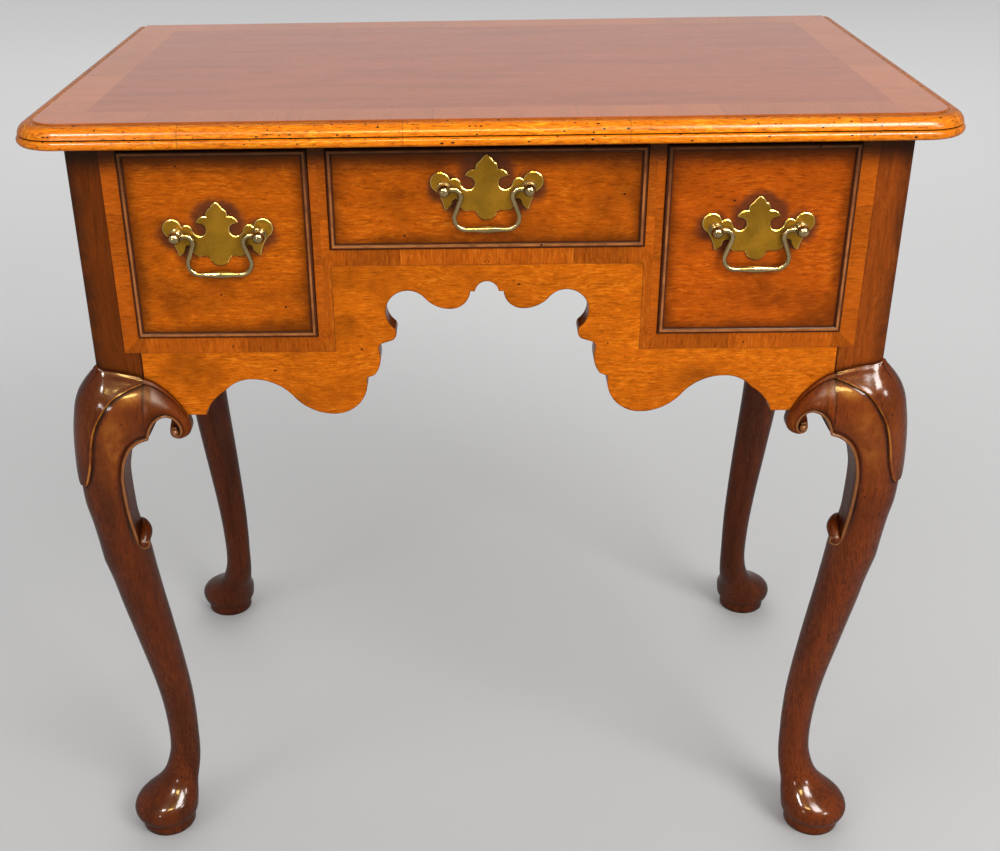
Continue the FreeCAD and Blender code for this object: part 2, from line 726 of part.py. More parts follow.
def dovetailed_side(label, height, tails, corner):
    """A drawer side in plan of its face: lapped tails at the front, through tails at the back."""
    tip, front, length = size("tail_end"), size("front_thickness"), size("drawer_length")
    rear = length - size("back_lining")
    pitch = height / tails
    root, flare = pitch * size("tail_share") / 2, size("tail_flare")
    outline = [(front, 0)]
    for number in range(tails):
        middle = pitch * (number + 0.5)
        outline += [(front, middle - root), (tip, middle - root - flare),
                    (tip, middle + root + flare), (front, middle + root)]
    outline += [(front, height), (rear, height)]
    for number in reversed(range(tails)):
        middle = pitch * (number + 0.5)
        outline += [(rear, middle + root), (length, middle + root + flare),
                    (length, middle - root - flare), (rear, middle - root)]
    outline.append((rear, 0))
    return shaped_board(label, "YZ_Plane", outline, "lining", corner)


def cock_bead(label, length, corner, turn):
    """One strip of cockbeading with mitred ends, lying along +X before it is turned."""
    reach, wide = size(length), size("bead_width")
    body = new_body(label)
    sketch = new_sketch(body, "XZ_Plane")
    draw(sketch, [(0, 0), (reach, 0), (reach - wide, wide), (wide, wide)])
    strip = pad(body, sketch, "bead_depth + bead_proud", reverse=True)
    body.Placement.Rotation = FreeCAD.Rotation(Y_AXIS, turn)
    place(body, corner)
    document.recompute()
    long_edges = ["Edge%d" % (number + 1) for number, edge in enumerate(strip.Shape.Edges)
                  if edge.BoundBox.YLength < SAME_PLACE and edge.BoundBox.ZLength < SAME_PLACE
                  and edge.BoundBox.YMax < SAME_PLACE]
    rounding = body.newObject("PartDesign::Fillet", "Nose")
    rounding.Base = (strip, long_edges)
    bind(rounding, "Radius", "bead_round")
    return body


def make_cockbeading(name, left, right, low, high, width, height):
    """Four strips round a drawer's front; high and right are the far edges."""
    at = "front - bead_proud"
    strips = [cock_bead(name + "_bead_lower", width, (left, at, low), 0),
              cock_bead(name + "_bead_right", height, (right, at, low), -90),
              cock_bead(name + "_bead_upper", width, (right, at, high), 180),
              cock_bead(name + "_bead_left", height, (left, at, high), 90)]
    node(group(name + "_cockbeading", *strips), name + "_cockbeading")


def plate_outline():
    """Batwing backplate: right half from the upper tip to the lower lobe, about the posts' line."""
    half = [(0, 26.5), arc((2.9, 24.2), (5.1, 21.2)), arc((8, 18.4), (8.4, 14.8)), (10.2, 14.8),
            arc((14.2, 13.4), (16.8, 9.7)), (14.6, 8.9), arc((9.2, 3.7), (14.9, -1.6)),
            arc((18.7, 0.3), (20.6, 3.8)), arc((24.5, 7.7), (28.8, 6)), arc((40.4, 11.5), (40, -2.2)),
            arc((35.7, -9.3), (33.2, -17.6)), arc((29.6, -15.8), (27.2, -12.6)),
            arc((24.3, -8.9), (21.2, -12.9)), arc((19.6, -17.2), (15.4, -18.5)), (9.8, -18.2),
            (8, -19.6), arc((5.2, -24.4), (0, -26))]
    stretch = size("boring") / PLATE_PATTERN_BORING
    return mirrored(fitted(half, stretch, stretch))


def handle_post(label):
    """Turned post: shank, collar, boss for the bail and a ball finial. Y is its axis."""
    shank, collar, boss = size("shank_radius"), size("collar_radius"), size("boss_radius")
    neck, ball = size("finial_neck"), size("finial_radius")
    plate, face, top = size("plate_thickness"), size("boss_face"), size("finial_start")
    centre = top + math.sqrt(ball ** 2 - neck ** 2)
    tilt = math.radians(20)
    body = new_body(label)
    sketch = new_sketch(body, "XY_Plane")
    draw(sketch, [(0, size("shank_length")), (shank, size("shank_length")), (shank, -plate),
                  (collar, -plate), (collar, -face), (boss, -face), (boss, -top), (neck, -top),
                  arc((ball * math.cos(tilt), -centre - ball * math.sin(tilt)), (0, -centre - ball))])
    turning = body.newObject("PartDesign::Revolution", "Turning")
    turning.Profile = sketch
    turning.ReferenceAxis = (sketch, ["V_Axis"])
    turning.Angle = 360
    return body


def bent_path(points, bends):
    """Straight runs joined by tangent arcs; one bend radius for each inner point."""
    path = [points[0]]
    for before, corner, after, radius in zip(points, points[1:], points[2:], bends):
        arrive = Vector(corner[0] - before[0], corner[1] - before[1], 0).normalize()
        leave = Vector(after[0] - corner[0], after[1] - corner[1], 0).normalize()
        turn = arrive.getAngle(leave)
        back = radius * math.tan(turn / 2)
        apex = radius * (1 / math.cos(turn / 2) - 1)
        inward = (leave - arrive).normalize()
        corner_point = Vector(corner[0], corner[1], 0)
        start, via, end = (corner_point - arrive * back, corner_point + inward * apex,
                           corner_point + leave * back)
        path += [(start.x, start.y), arc((via.x, via.y), (end.x, end.y))]
    return path + [points[-1]]


def make_bail(name, centre, axis_y, axis_z):
    """Swan-neck bail: a bent rod with a swelling grip and a pin at each end."""
    start, waist, spread = size("bail_shoulder_place"), size("bail_waist"), size("bail_spread")
    drop = size("bail_drop")
    neck, corner = size("bail_neck_bend"), size("bail_corner_bend")
    body = new_body(name + "_bail_rod")
    path = new_sketch(body, "XZ_Plane")
    points = [(start, 0), (waist, 0), (spread, -drop), (-spread, -drop), (-waist, 0), (-start, 0)]
    draw(path, bent_path(points, (neck, corner, corner, neck)), closed=False)
    section = new_sketch(body, "YZ_Plane", "bail_shoulder_place")
    draw_circle(section, ("0", "0"), "bail_radius")
    pipe = body.newObject("PartDesign::AdditivePipe", "Rod")
    pipe.Profile = section
    pipe.Spine = (path, ["Edge%d" % (number + 1) for number in range(9)])
    place(body, (centre, axis_y, axis_z))

    grip = document.addObject("Part::Ellipsoid", name + "_grip")
    grip.Placement.Rotation = FreeCAD.Rotation(Z_AXIS, X_AXIS)
    bind(grip, "Radius1", "grip_length / 2")
    bind(grip, "Radius2", "grip_radius")
    bind(grip, "Radius3", "grip_radius")
    place(grip, (centre, axis_y, axis_z + " - bail_drop"))

    # each pin starts inside the rod's end and runs into the boss
    length = "bail_radius + bail_shoulder + pin_length"
    right = rod(name + "_pin_right", (centre + " + bail_shoulder_place - bail_radius", axis_y, axis_z),
                "pin_radius", length, X_AXIS)
    left = rod(name + "_pin_left", (centre + " - bail_shoulder_place + bail_radius", axis_y, axis_z),
               "pin_radius", length, -X_AXIS)
    node(fuse(name + "_bail", body, grip, right, left), name + "_bail")


def make_handle(name, centre, axis_z):
    """Backplate, two posts with their nuts, and the bail. Returns the two shank holes."""
    axis_y = "front - bail_stand"
    left_x, right_x = centre + " - boring / 2", centre + " + boring / 2"
    ends = (("left", left_x, 1), ("right", right_x, -1))

    plate = shaped_board(name + "_plate_sawn", "XZ_Plane", plate_outline(), "plate_thickness",
                         (centre, "front", axis_z))
    holes = [rod("%s_shank_hole_%s" % (name, side), (x, "front - knee_reach", axis_z),
                 "shank_radius + shank_clearance", "2 * knee_reach + front_thickness", Y_AXIS)
             for side, x, _ in ends]
    node(cut(name + "_backplate", plate, *holes), name + "_backplate")

    posts, nuts = [], []
    for side, x, inward in ends:
        turned = place(handle_post("%s_post_turned_%s" % (name, side)), (x, "front", axis_z))
        pin_hole = rod("%s_pin_hole_%s" % (name, side), (x, axis_y, axis_z),
                       "pin_radius + pin_clearance", "2 * boss_radius", X_AXIS * inward)
        depth = "boss_radius - pin_length - pin_clearance"
        sign = "+" if inward > 0 else "-"
        place(pin_hole, ("%s %s (%s)" % (x, sign, depth), axis_y, axis_z))
        posts.append(cut("%s_post_%s" % (name, side), turned, pin_hole))
        blank = box("%s_nut_blank_%s" % (name, side),
                    (x + " - nut_width / 2", "front + front_thickness", axis_z + " - nut_width / 2"),
                    ("nut_width", "nut_height", "nut_width"))
        nuts.append(cut("%s_nut_%s" % (name, side), blank, holes[0 if side == "left" else 1]))
    node(group(name + "_handle_posts", *posts), name + "_handle_posts")
    node(group(name + "_handle_nuts", *nuts), name + "_handle_nuts")
    make_bail(name, centre, axis_y, axis_z)
    return holes


def make_drawer(name, centre, bottom, width, height, tails, handle_rise):
    """One drawer in its opening. Places are expressions; bottom is the opening's lower edge."""
    left, right = "%s - %s / 2" % (centre, width), "%s + %s / 2" % (centre, width)
    low = bottom + " + drawer_gap"
    make_cockbeading(name, left, right, low, "%s + %s" % (low, height), width, height)

    field = box(name + "_field", (left + " + bead_width", "front", low + " + bead_width"),
                (width + " - 2 * bead_width", "front_thickness", height + " - 2 * bead_width"))
    lip = box(name + "_lip", (left, "front + bead_depth", low),
              (width, "front_thickness - bead_depth", height))
    board = fuse(name + "_front_board", field, lip)

    floor = box(name + "_floor",
                (left + " + side_inset + lining - floor_groove", "front + front_thickness - floor_groove",
                 bottom + " + floor_rise"),
                (width + " - 2 * (side_inset + lining - floor_groove)",
                 "drawer_length - front_thickness + floor_groove", "floor_thickness"))
    side_height = size(height) + size("drawer_gap") - size("side_below_top")
    side_left = dovetailed_side(name + "_side_left_blank", side_height, tails,
                                (left + " + side_inset", "front", bottom))
    side_right = dovetailed_side(name + "_side_right_blank", side_height, tails,
                                 (right + " - side_inset - lining", "front", bottom))
    end = box(name + "_end", (left + " + side_inset", "drawer_end - back_lining",
                              bottom + " + floor_rise + floor_thickness"),
              (width + " - 2 * side_inset", "back_lining",
               height + " - floor_rise - floor_thickness - side_below_top - back_below_side"))

    holes = make_handle(name, centre, "%s + %s" % (low, handle_rise))
    node(cut(name + "_front", board, side_left, side_right, floor, *holes), name + "_front")
    node(cut(name + "_side_left", side_left, floor), name + "_side_left")
    node(cut(name + "_side_right", side_right, floor), name + "_side_right")
    node(cut(name + "_back", end, side_left, side_right), name + "_back")
    node(floor, name + "_bottom")


# ---------------------------------------------------------------- the whole piece

make_top()
make_front()
make_sides_and_back()
make_inside()
make_legs()
make_brackets()
make_drawer("drawer_left", "-side_centre", "side_bottom", "side_width", "side_height", 4,
            "side_handle_rise")
make_drawer("drawer_centre", "0", "centre_bottom", "centre_width", "centre_height", 2,
            "centre_handle_rise")
make_drawer("drawer_right", "side_centre", "side_bottom", "side_width", "side_height", 4,
            "side_handle_rise")
document.recompute()

failed = [thing.Label for thing in document.Objects
          if "Invalid" in thing.State or "Error" in thing.State]
failed += [thing.Label for thing in nodes if thing.Shape.isNull() or not thing.Shape.isValid()]
if failed:
    raise RuntimeError("not made: " + ", ".join(failed))

os.makedirs("parts", exist_ok=True)
for thing in nodes:
    thing.Shape.exportStep(os.path.join("parts", thing.Label + ".step"))
print(len(nodes), "nodes written")
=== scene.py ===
"""A walnut lowboy: its veneers, carved legs and brasses, laid over the joiner's frame."""
import math

import bmesh
import bpy
from bpy.props import FloatProperty, FloatVectorProperty, PointerProperty
from mathutils import Matrix, Vector


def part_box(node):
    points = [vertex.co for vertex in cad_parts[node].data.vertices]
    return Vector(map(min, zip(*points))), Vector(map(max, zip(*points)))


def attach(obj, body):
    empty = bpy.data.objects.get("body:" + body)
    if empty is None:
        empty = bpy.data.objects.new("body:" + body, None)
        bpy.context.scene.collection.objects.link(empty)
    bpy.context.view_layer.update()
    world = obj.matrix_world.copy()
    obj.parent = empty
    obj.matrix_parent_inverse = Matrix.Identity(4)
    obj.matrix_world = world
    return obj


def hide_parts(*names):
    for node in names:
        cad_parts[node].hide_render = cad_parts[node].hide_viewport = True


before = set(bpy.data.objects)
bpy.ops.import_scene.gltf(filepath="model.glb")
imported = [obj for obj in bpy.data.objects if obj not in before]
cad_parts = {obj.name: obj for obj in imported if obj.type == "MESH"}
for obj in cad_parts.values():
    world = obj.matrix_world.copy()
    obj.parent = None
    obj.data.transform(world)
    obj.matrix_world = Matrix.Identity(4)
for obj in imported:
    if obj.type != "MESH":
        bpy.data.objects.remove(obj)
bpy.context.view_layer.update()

bl_info = {
    "name": "Walnut Lowboy",
    "version": (1, 0, 0),
    "blender": (4, 5, 0),
    "location": "3D View > Sidebar > Lowboy",
    "description": "Dresses the frame of a lowboy with veneers, carving and brasses",
    "category": "Object",
}

MM = 0.001                       # the tables below are in millimetres
SIDES = ("left", "centre", "right")
LONGEST = 50                      # of the lengths that a user can change


# ---------------------------------------------------------------- settings

def tint(name, about, colour):
    """A colour that a user can change."""
    return FloatVectorProperty(name=name, description=about, default=colour, size=3,
                               min=0, max=1, subtype="COLOR")


def measure(name, about, millimetres):
    """A length that a user can change."""
    return FloatProperty(name=name, description=about, default=millimetres * MM,
                         min=0, max=LONGEST * MM, subtype="DISTANCE", unit="LENGTH", precision=4)


def angle(name, about, degrees):
    """An angle that a user can change."""
    return FloatProperty(name=name, description=about, default=math.radians(degrees), subtype="ANGLE")


class LowboyTimber(bpy.types.PropertyGroup):
    """Colours of the woods."""
    field: tint("Top field", "Veneer in the middle of the top", (0.42, 0.105, 0.036))
    top_band: tint("Top band", "Crossbanding round the top", (0.48, 0.135, 0.04))
    moulding: tint("Moulding", "Cross-grained edge of the top", (0.97, 0.228, 0.002))
    drawer: tint("Drawer fronts", "Veneer of the drawer fronts", (0.54, 0.106, 0.0016))
    apron: tint("Apron", "Veneer of the shaped apron", (0.61, 0.128, 0.0021))
    band: tint("Case bands", "Crossbanding round the drawer openings", (0.45, 0.088, 0.003))
    post: tint("Posts", "Faces of the corner posts", (0.19, 0.036, 0.003))
    cockbead: tint("Cockbeads", "Beads round the drawer fronts", (0.08, 0.02, 0.007))
    # the next two colours paint both rubbed places and painted highlights
    bead_rub_and_highlight: tint("Rubbed and lit beads", "Beads where hands have rubbed them, and the painted highlight on their ridge", (0.45, 0.15, 0.04))
    leg_rub_and_highlight: tint("Rubbed and lit carving", "Carving where hands have rubbed it, and its painted highlights", (0.66, 0.27, 0.036))
    solid: tint("Solid walnut", "Legs, posts and brackets", (0.125, 0.0205, 0.002))
    panel: tint("Panels", "Sides of the case", (0.24, 0.06, 0.014))
    oak: tint("Oak", "Linings of the drawers", (0.36, 0.23, 0.115))
    pine: tint("Pine", "Carcass inside the case", (0.42, 0.26, 0.13))
    # the dark colour of grime, and of painted shade in the hollows and below the top
    grime: tint("Grime", "Old wax and dirt, with painted shade, in the hollows and below the top", (0.018, 0.007, 0.004))


class LowboyCarving(bpy.types.PropertyGroup):
    """Sizes of the carving on the legs."""
    lappet_rise: measure("Lappet rise", "How far the lappet stands off the knee", 2.2)
    bead: measure("Bead", "Radius of the bead along the inner edge", 1.35)
    fall: measure("Fall", "How far the knee falls away beside the bead", 5)
    ledge: measure("Ledge", "How far the top of the knee stands off the case", 1.2)
    eye: measure("Eye", "Radius of the eye of each volute", 3.1)


class LowboyBrass(bpy.types.PropertyGroup):
    """Sizes and colours of the handles."""
    plate: tint("Plate", "Old brass of the backplates", (0.265, 0.13, 0.006))
    filed: tint("Filed edge", "Filed edges of the backplates", (0.5, 0.34, 0.09))
    bail: tint("Bail", "Rubbed brass of the bails", (0.3, 0.22, 0.1))
    bevel: measure("Bevel", "Width of the filed edge of a backplate", 0.6)
    rod: measure("Rod", "Radius of the bail", 2)
    grip: measure("Grip", "Radius of the bail in the middle of its grip", 2.9)


class LowboyStage(bpy.types.PropertyGroup):
    """The floor, the lights and the camera."""
    floor: tint("Floor", "Pale floor and backdrop", (0.6, 0.6, 0.603))
    pitch: angle("Pitch", "How far the camera looks down", 27.68)
    yaw: angle("Yaw", "How far the camera is turned to the left", 1.51)
    roll: angle("Roll", "How far the camera leans", 1.11)
    lens: FloatProperty(name="Lens", description="Focal length on a 36 mm sensor",
                        default=47.78, min=10, max=200, subtype="DISTANCE_CAMERA")


def settings(name):
    """One of the groups of settings above."""
    return getattr(bpy.context.scene, "lowboy_" + name)


# ---------------------------------------------------------------- node trees

HOLLOW_SAMPLES = 8
BROWN, DARK_BROWN, LIGHT_BROWN = (0.4, 0.15, 0.05, 1), (0.1, 0.03, 0.01, 1), (0.6, 0.3, 0.1, 1)
# the first of these is the default dark colour for grime and painted shade
SOOT_AND_SHADE, OLD_BRASS, TARNISH = (0.02, 0.01, 0.005, 1), (0.5, 0.35, 0.1, 1), (0.05, 0.03, 0.012, 1)


def is_socket(value):
    return isinstance(value, bpy.types.NodeSocket)


def place(where, kind, inputs=None, **options):
    """A new node in a tree, or in the tree of a socket; an input is a value, or a socket to link."""
    tree = where.id_data if is_socket(where) else where
    node = tree.nodes.new(kind)
    for option, value in options.items():
        setattr(node, option, value)
    for key, value in (inputs or {}).items():
        if is_socket(value):
            tree.links.new(value, node.inputs[key])
        else:
            node.inputs[key].default_value = value
    return node


def worked(kind, values, output=0, **options):
    """What a node makes of its first inputs, in the tree of the sockets among them."""
    socket = next(value for value in values if is_socket(value))
    return place(socket, kind, dict(enumerate(values)), **options).outputs[output]


def maths(operation, *values):
    return worked("ShaderNodeMath", values, operation=operation)


def times(first, *others):
    for other in others:
        first = maths("MULTIPLY", first, other)
    return first


def minus(first, second):
    return maths("SUBTRACT", first, second)


def plus(first, second):
    return maths("ADD", first, second)


def vectors(operation, *values, output=0):
    return worked("ShaderNodeVectorMath", values, output, operation=operation)


def stretched(vector, by):
    return vectors("MULTIPLY", vector, by)


def split(vector):
    """The three parts of a vector."""
    return place(vector, "ShaderNodeSeparateXYZ", {0: vector}).outputs


def joined(*parts):
    """A vector made of its parts."""
    return worked("ShaderNodeCombineXYZ", parts)


def mixed(factor, first, second):
    """A colour between two others."""
    return place(factor, "ShaderNodeMix", {0: factor, 6: first, 7: second}, data_type="RGBA",
                 blend_type="MIX", clamp_factor=True).outputs[2]


def either(side, first, second):
    """The first value where side is 0, the second where it is 1."""
    return place(side, "ShaderNodeMix", {0: side, 2: first, 3: second}).outputs[0]


def ranged(value, low, high, to_low=0, to_high=1):
    """A value carried from one range to another, with soft ends."""
    inputs = {"Value": value, "From Min": low, "From Max": high, "To Min": to_low, "To Max": to_high}
    return place(value, "ShaderNodeMapRange", inputs, interpolation_type="SMOOTHSTEP").outputs[0]


def noise(vector, scale, detail=3, roughness=0.55, distortion=0):
    inputs = {"Vector": vector, "Scale": scale, "Detail": detail, "Roughness": roughness,
              "Distortion": distortion}
    return place(vector, "ShaderNodeTexNoise", inputs).outputs[0]


def hollows(where, distance):
    """0 in hollows and 1 in the open."""
    return place(where, "ShaderNodeAmbientOcclusion", {"Distance": distance},
                 samples=HOLLOW_SAMPLES).outputs["AO"]


def own_place(tree):
    """The object's own coordinates."""
    return place(tree, "ShaderNodeTexCoord").outputs["Object"]


def rgba(colour, share=1):
    """A colour, or a share of it, as a socket takes it."""
    return (*(part * share for part in colour[:3]), 1)


def group(name, inputs, build):
    """A node group, made once; an input has the default of a colour or a value, or None for a vector."""
    if name in bpy.data.node_groups:
        return bpy.data.node_groups[name]
    tree = bpy.data.node_groups.new(name, "ShaderNodeTree")
    for label, default in inputs.items():
        kind = "Vector" if default is None else "Color" if isinstance(default, tuple) else "Float"
        socket = tree.interface.new_socket(label, in_out="INPUT", socket_type="NodeSocket" + kind)
        if default is not None:
            socket.default_value = default
    made = build(tree.nodes.new("NodeGroupInput").outputs)
    for label, socket in made.items():
        kind = {"RGBA": "Color", "VECTOR": "Vector"}.get(socket.type, "Float")
        tree.interface.new_socket(label, in_out="OUTPUT", socket_type="NodeSocket" + kind)
    finish = tree.nodes.new("NodeGroupOutput").inputs
    for label, socket in made.items():
        tree.links.new(socket, finish[label])
    return tree


def grouped(tree, maker, inputs):
    """The outputs of a node group placed in a material, with its own values."""
    return place(tree, "ShaderNodeGroup", inputs, node_tree=maker()).outputs


def walnut_figure():
    """Figured walnut, its grain along the first axis of the vector."""
    def build(given):
        vector = given["Vector"]
        drift = noise(stretched(vector, (5, 9, 9)), 2.2, 2)
        bent = vectors("ADD", vector, stretched(joined(0, drift, drift), (0, 0.02, 0.02)))
        streak = noise(stretched(bent, (16, 420, 420)), 1, 5, 0.62)
        broad = noise(stretched(bent, (6, 46, 46)), 1)
        fleck = noise(stretched(bent, (110, 640, 640)), 1, 4, 0.68, 0.5)
        cloud = noise(stretched(vector, (17, 24, 24)), 1, 3, 0.6)
        pore = noise(stretched(vector, (330, 2000, 2000)), 1, 1, 0.5)
        lines = times(ranged(streak, 0.38, 0.68), given["Streak"])
        bands = times(ranged(broad, 0.4, 0.68), given["Band"])
        patches = times(ranged(cloud, 0.4, 0.74), given["Cloud"])
        dark = maths("MAXIMUM", maths("MAXIMUM", lines, bands), patches)
        dashes = times(ranged(fleck, 0.5, 0.64), given["Fleck"], ranged(cloud, 0.62, 0.35, 0.35, 1))
        pits = times(ranged(fleck, 0.46, 0.34), given["Fleck"])
        pores = times(ranged(pore, 0.6, 0.72), given["Pores"])
        colour = mixed(dark, given["Tone"], given["Dark"])
        colour = mixed(dashes, colour, given["Light"])
        for mask in (pits, pores):
            colour = mixed(mask, colour, given["Dark"])
        return {"Color": colour, "Height": minus(times(fleck, 0.35), pores), "Fleck": fleck}
    return group("Walnut Figure", {
        "Vector": None, "Tone": BROWN, "Dark": DARK_BROWN, "Light": LIGHT_BROWN, "Streak": 0.5,
        "Band": 0.4, "Cloud": 0.4, "Fleck": 0.6, "Pores": 0.6}, build)


def polish_and_painted_light():
    """Painted shade and grime in the hollows, rubbed places and painted highlights, small dents and specks.
    """
    def build(given):
        vector, tone_marks = given["Vector"], given["Wear"]
        # painted shade and grime where ambient occlusion finds a hollow
        shut = ranged(hollows(vector, given["Reach"]), given["Open"], 0.25)
        shut = times(shut, ranged(noise(vector, 55), 0.25, 0.6, 0.75, 1), given["Grime Amount"])
        # dark vertex marks join in: painted shade in grooves, grime and dark joints
        shut = maths("MAXIMUM", shut, times(tone_marks, -0.85))
        cells = place(vector, "ShaderNodeTexVoronoi",
                      {"Vector": stretched(vector, (230, 380, 380)), "Scale": 1}).outputs
        rare, size, _ = place(vector, "ShaderNodeSeparateColor", {0: cells["Color"]}).outputs
        dot = ranged(minus(cells["Distance"], times(size, 0.2)), 0.16, 0.04)
        dot = times(dot, maths("LESS_THAN", rare, given["Specks"]))
        # light vertex marks lighten towards the rub colour: rubbed places and painted highlights
        colour = mixed(times(tone_marks, given["Rub And Highlight Amount"]), given["Color"], given["Rub"])
        colour = mixed(maths("MAXIMUM", shut, dot), colour, given["Grime"])
        return {"Color": colour, "Grime": shut, "Speck": dot}
    return group("Old Polish And Painted Light", {
        "Vector": None, "Color": BROWN, "Grime": SOOT_AND_SHADE, "Grime Amount": 0.8, "Reach": 0.012, "Open": 0.85,
        "Rub": LIGHT_BROWN, "Rub And Highlight Amount": 0.0, "Wear": 0.0, "Specks": 0.03}, build)


def strip_run():
    """Turns the vector so that its first axis runs across the strips of a rectangular frame."""
    def build(given):
        x, y, z = split(given["Vector"])
        beside = minus(given["Half Width"], maths("ABSOLUTE", x))
        behind = minus(given["Half Depth"], maths("ABSOLUTE", minus(y, given["Middle"])))
        side = maths("LESS_THAN", beside, behind)
        along, across = either(side, x, y), either(side, y, x)
        count = plus(maths("DIVIDE", along, given["Piece"]), 0.37)
        key = joined(maths("FLOOR", count), side)
        shade = place(key, "ShaderNodeTexWhiteNoise", {"Vector": key}).outputs["Value"]
        off = maths("ABSOLUTE", minus(maths("FRACT", count), 0.5))
        return {"Vector": joined(across, along, z), "Shade": shade,
                "Joint": maths("GREATER_THAN", off, 0.4965)}
    return group("Strip Run", {"Vector": None, "Half Width": 0.364, "Half Depth": 0.232, "Middle": 0.0,
                               "Piece": 0.075}, build)


def front_run():
    """Measures the front from the middle of the nearest drawer opening."""
    def build(given):
        x, y, z = split(given["Vector"])
        beside = maths("ABSOLUTE", x)
        outer = maths("GREATER_THAN", beside, given["Divide"])
        half, middle = (place(outer, "ShaderNodeMix", {0: outer, 4: given["Centre " + what],
                                                       5: given["Side " + what]},
                              data_type="VECTOR").outputs[1] for what in ("Half", "Middle"))
        across = minus(beside, times(outer, given["Side X"]))
        width, height, _ = split(half)
        return {"Vector": vectors("SUBTRACT", joined(across, z, y), middle), "Half Width": width,
                "Half Height": height}
    return group("Front Run", {
        "Vector": None, "Divide": 0.13, "Side X": 0.215, "Centre Half": None, "Side Half": None,
        "Centre Middle": None, "Side Middle": None}, build)


HALO_SPOTS = ((0, 7, 22), (34, 0, 12), (27, -11, 9))        # out, up and radius round a handle
RIDGE_RISE, RIDGE_FALL = (1.2, 2.2), (3.9, 2.9)             # where a cockbead's ridge is rubbed and carries a painted highlight


def edge_shade():
    """Masks for a panel: darker towards its edges, old wax round its handle, and the ridge of its cockbead,
    which carries a painted highlight.
    """
    def build(given):
        x, _, z = split(given["Vector"])
        across = minus(x, given["Centre X"])
        beside = minus(given["Half Width"], maths("ABSOLUTE", across))
        below = minus(given["Half Height"], maths("ABSOLUTE", minus(z, given["Centre Z"])))
        ragged = minus(noise(given["Vector"], 38, 4, 0.6), 0.5)
        near = plus(maths("SMOOTH_MIN", beside, below, 0.012), times(ragged, 0.02))
        risen = minus(z, given["Handle Z"])
        halo = 0
        for out, up, radius in HALO_SPOTS:
            flat = joined(minus(maths("ABSOLUTE", across), out * MM), minus(risen, up * MM))
            away = plus(vectors("LENGTH", flat, output="Value"), times(ragged, 0.016))
            halo = maths("MAXIMUM", halo, ranged(away, (radius + 5) * MM, (radius - 4) * MM))
        # the ridge: a painted highlight along the cockbead's rounded top, with rub
        straight = maths("MINIMUM", beside, below)
        rise, fall = (ranged(straight, low * MM, high * MM) for low, high in (RIDGE_RISE, RIDGE_FALL))
        return {"Rim": ranged(near, 0.017, 0.002), "Halo": halo, "Ridge": times(rise, fall)}
    return group("Edge Shade", {
        "Vector": None, "Centre X": 0.0, "Centre Z": 0.6, "Half Width": 0.07, "Half Height": 0.07,
        "Handle Z": 0.62}, build)


def patina():
    """Old brass: patchy in colour and roughness, and dark in the hollows."""
    def build(given):
        broad = noise(given["Vector"], 45, 4, 0.6)
        fine = noise(given["Vector"], 700, 3, 0.6)
        light = times(ranged(broad, 0.3, 0.7, 0.86, 1.12), ranged(fine, 0.3, 0.7, 0.93, 1.06))
        shut = ranged(hollows(broad, 0.005), 0.8, 0.3, 0, 0.85)
        colour = mixed(shut, stretched(given["Color"], light), given["Tarnish"])
        rough = times(ranged(broad, 0.3, 0.7, 0.85, 1.2), given["Roughness"])
        return {"Color": colour, "Roughness": plus(rough, times(shut, 0.3)), "Height": fine}
    return group("Patina", {"Vector": None, "Color": OLD_BRASS, "Tarnish": TARNISH, "Roughness": 0.3},
                 build)


# ---------------------------------------------------------------- finishes

def surface(name, **shader):
    """A new material, its tree and its Principled BSDF."""
    material = bpy.data.materials.new(name)
    material.use_nodes = True
    tree = material.node_tree
    shading = tree.nodes["Principled BSDF"]
    for key, value in shader.items():
        shading.inputs[key.replace("_", " ")].default_value = value
    return material, tree, shading


def finished(tree, shading, sockets, height, strength, distance):
    """Sockets to the shader's inputs of the same names, and a height to its Normal."""
    for label, socket in sockets.items():
        tree.links.new(socket, shading.inputs[label])
    bump = place(tree, "ShaderNodeBump", {"Height": height, "Strength": strength, "Distance": distance})
    tree.links.new(bump.outputs[0], shading.inputs["Normal"])


SATIN = {"Coat_Weight": 0.06, "Coat_Roughness": 0.16, "Specular_IOR_Level": 0.08,
         "Specular_Tint": (1, 0.7, 0.35, 1)}
POLISHED = {"Coat_Weight": 0.72, "Coat_Roughness": 0.17, "Specular_IOR_Level": 0.1}
WAXED = {"Coat_Weight": 0.36, "Coat_Roughness": 0.12, "Specular_IOR_Level": 0.05}
# the colour of faint rub and of faint painted highlights
FAINT_RUB_AND_HIGHLIGHT = (0.44, 0.1, 0.007)
TOP_SHADOW_LEVELS = (0.665, 0.685)        # where painted shadow darkens the front below the top's overhang, in metres
HALO_COLOUR = (0.06, 0.018, 0.01, 1)
GRAIN_ORDER = {"X": (0, 1, 2), "Y": (1, 0, 2), "Z": (2, 0, 1)}


def lighter(colour):
    """The tone of the light dashes in a figured veneer."""
    red, green, blue = colour
    return min(1, red * 1.4), min(1, green * 2), blue * 2 + red * 0.012


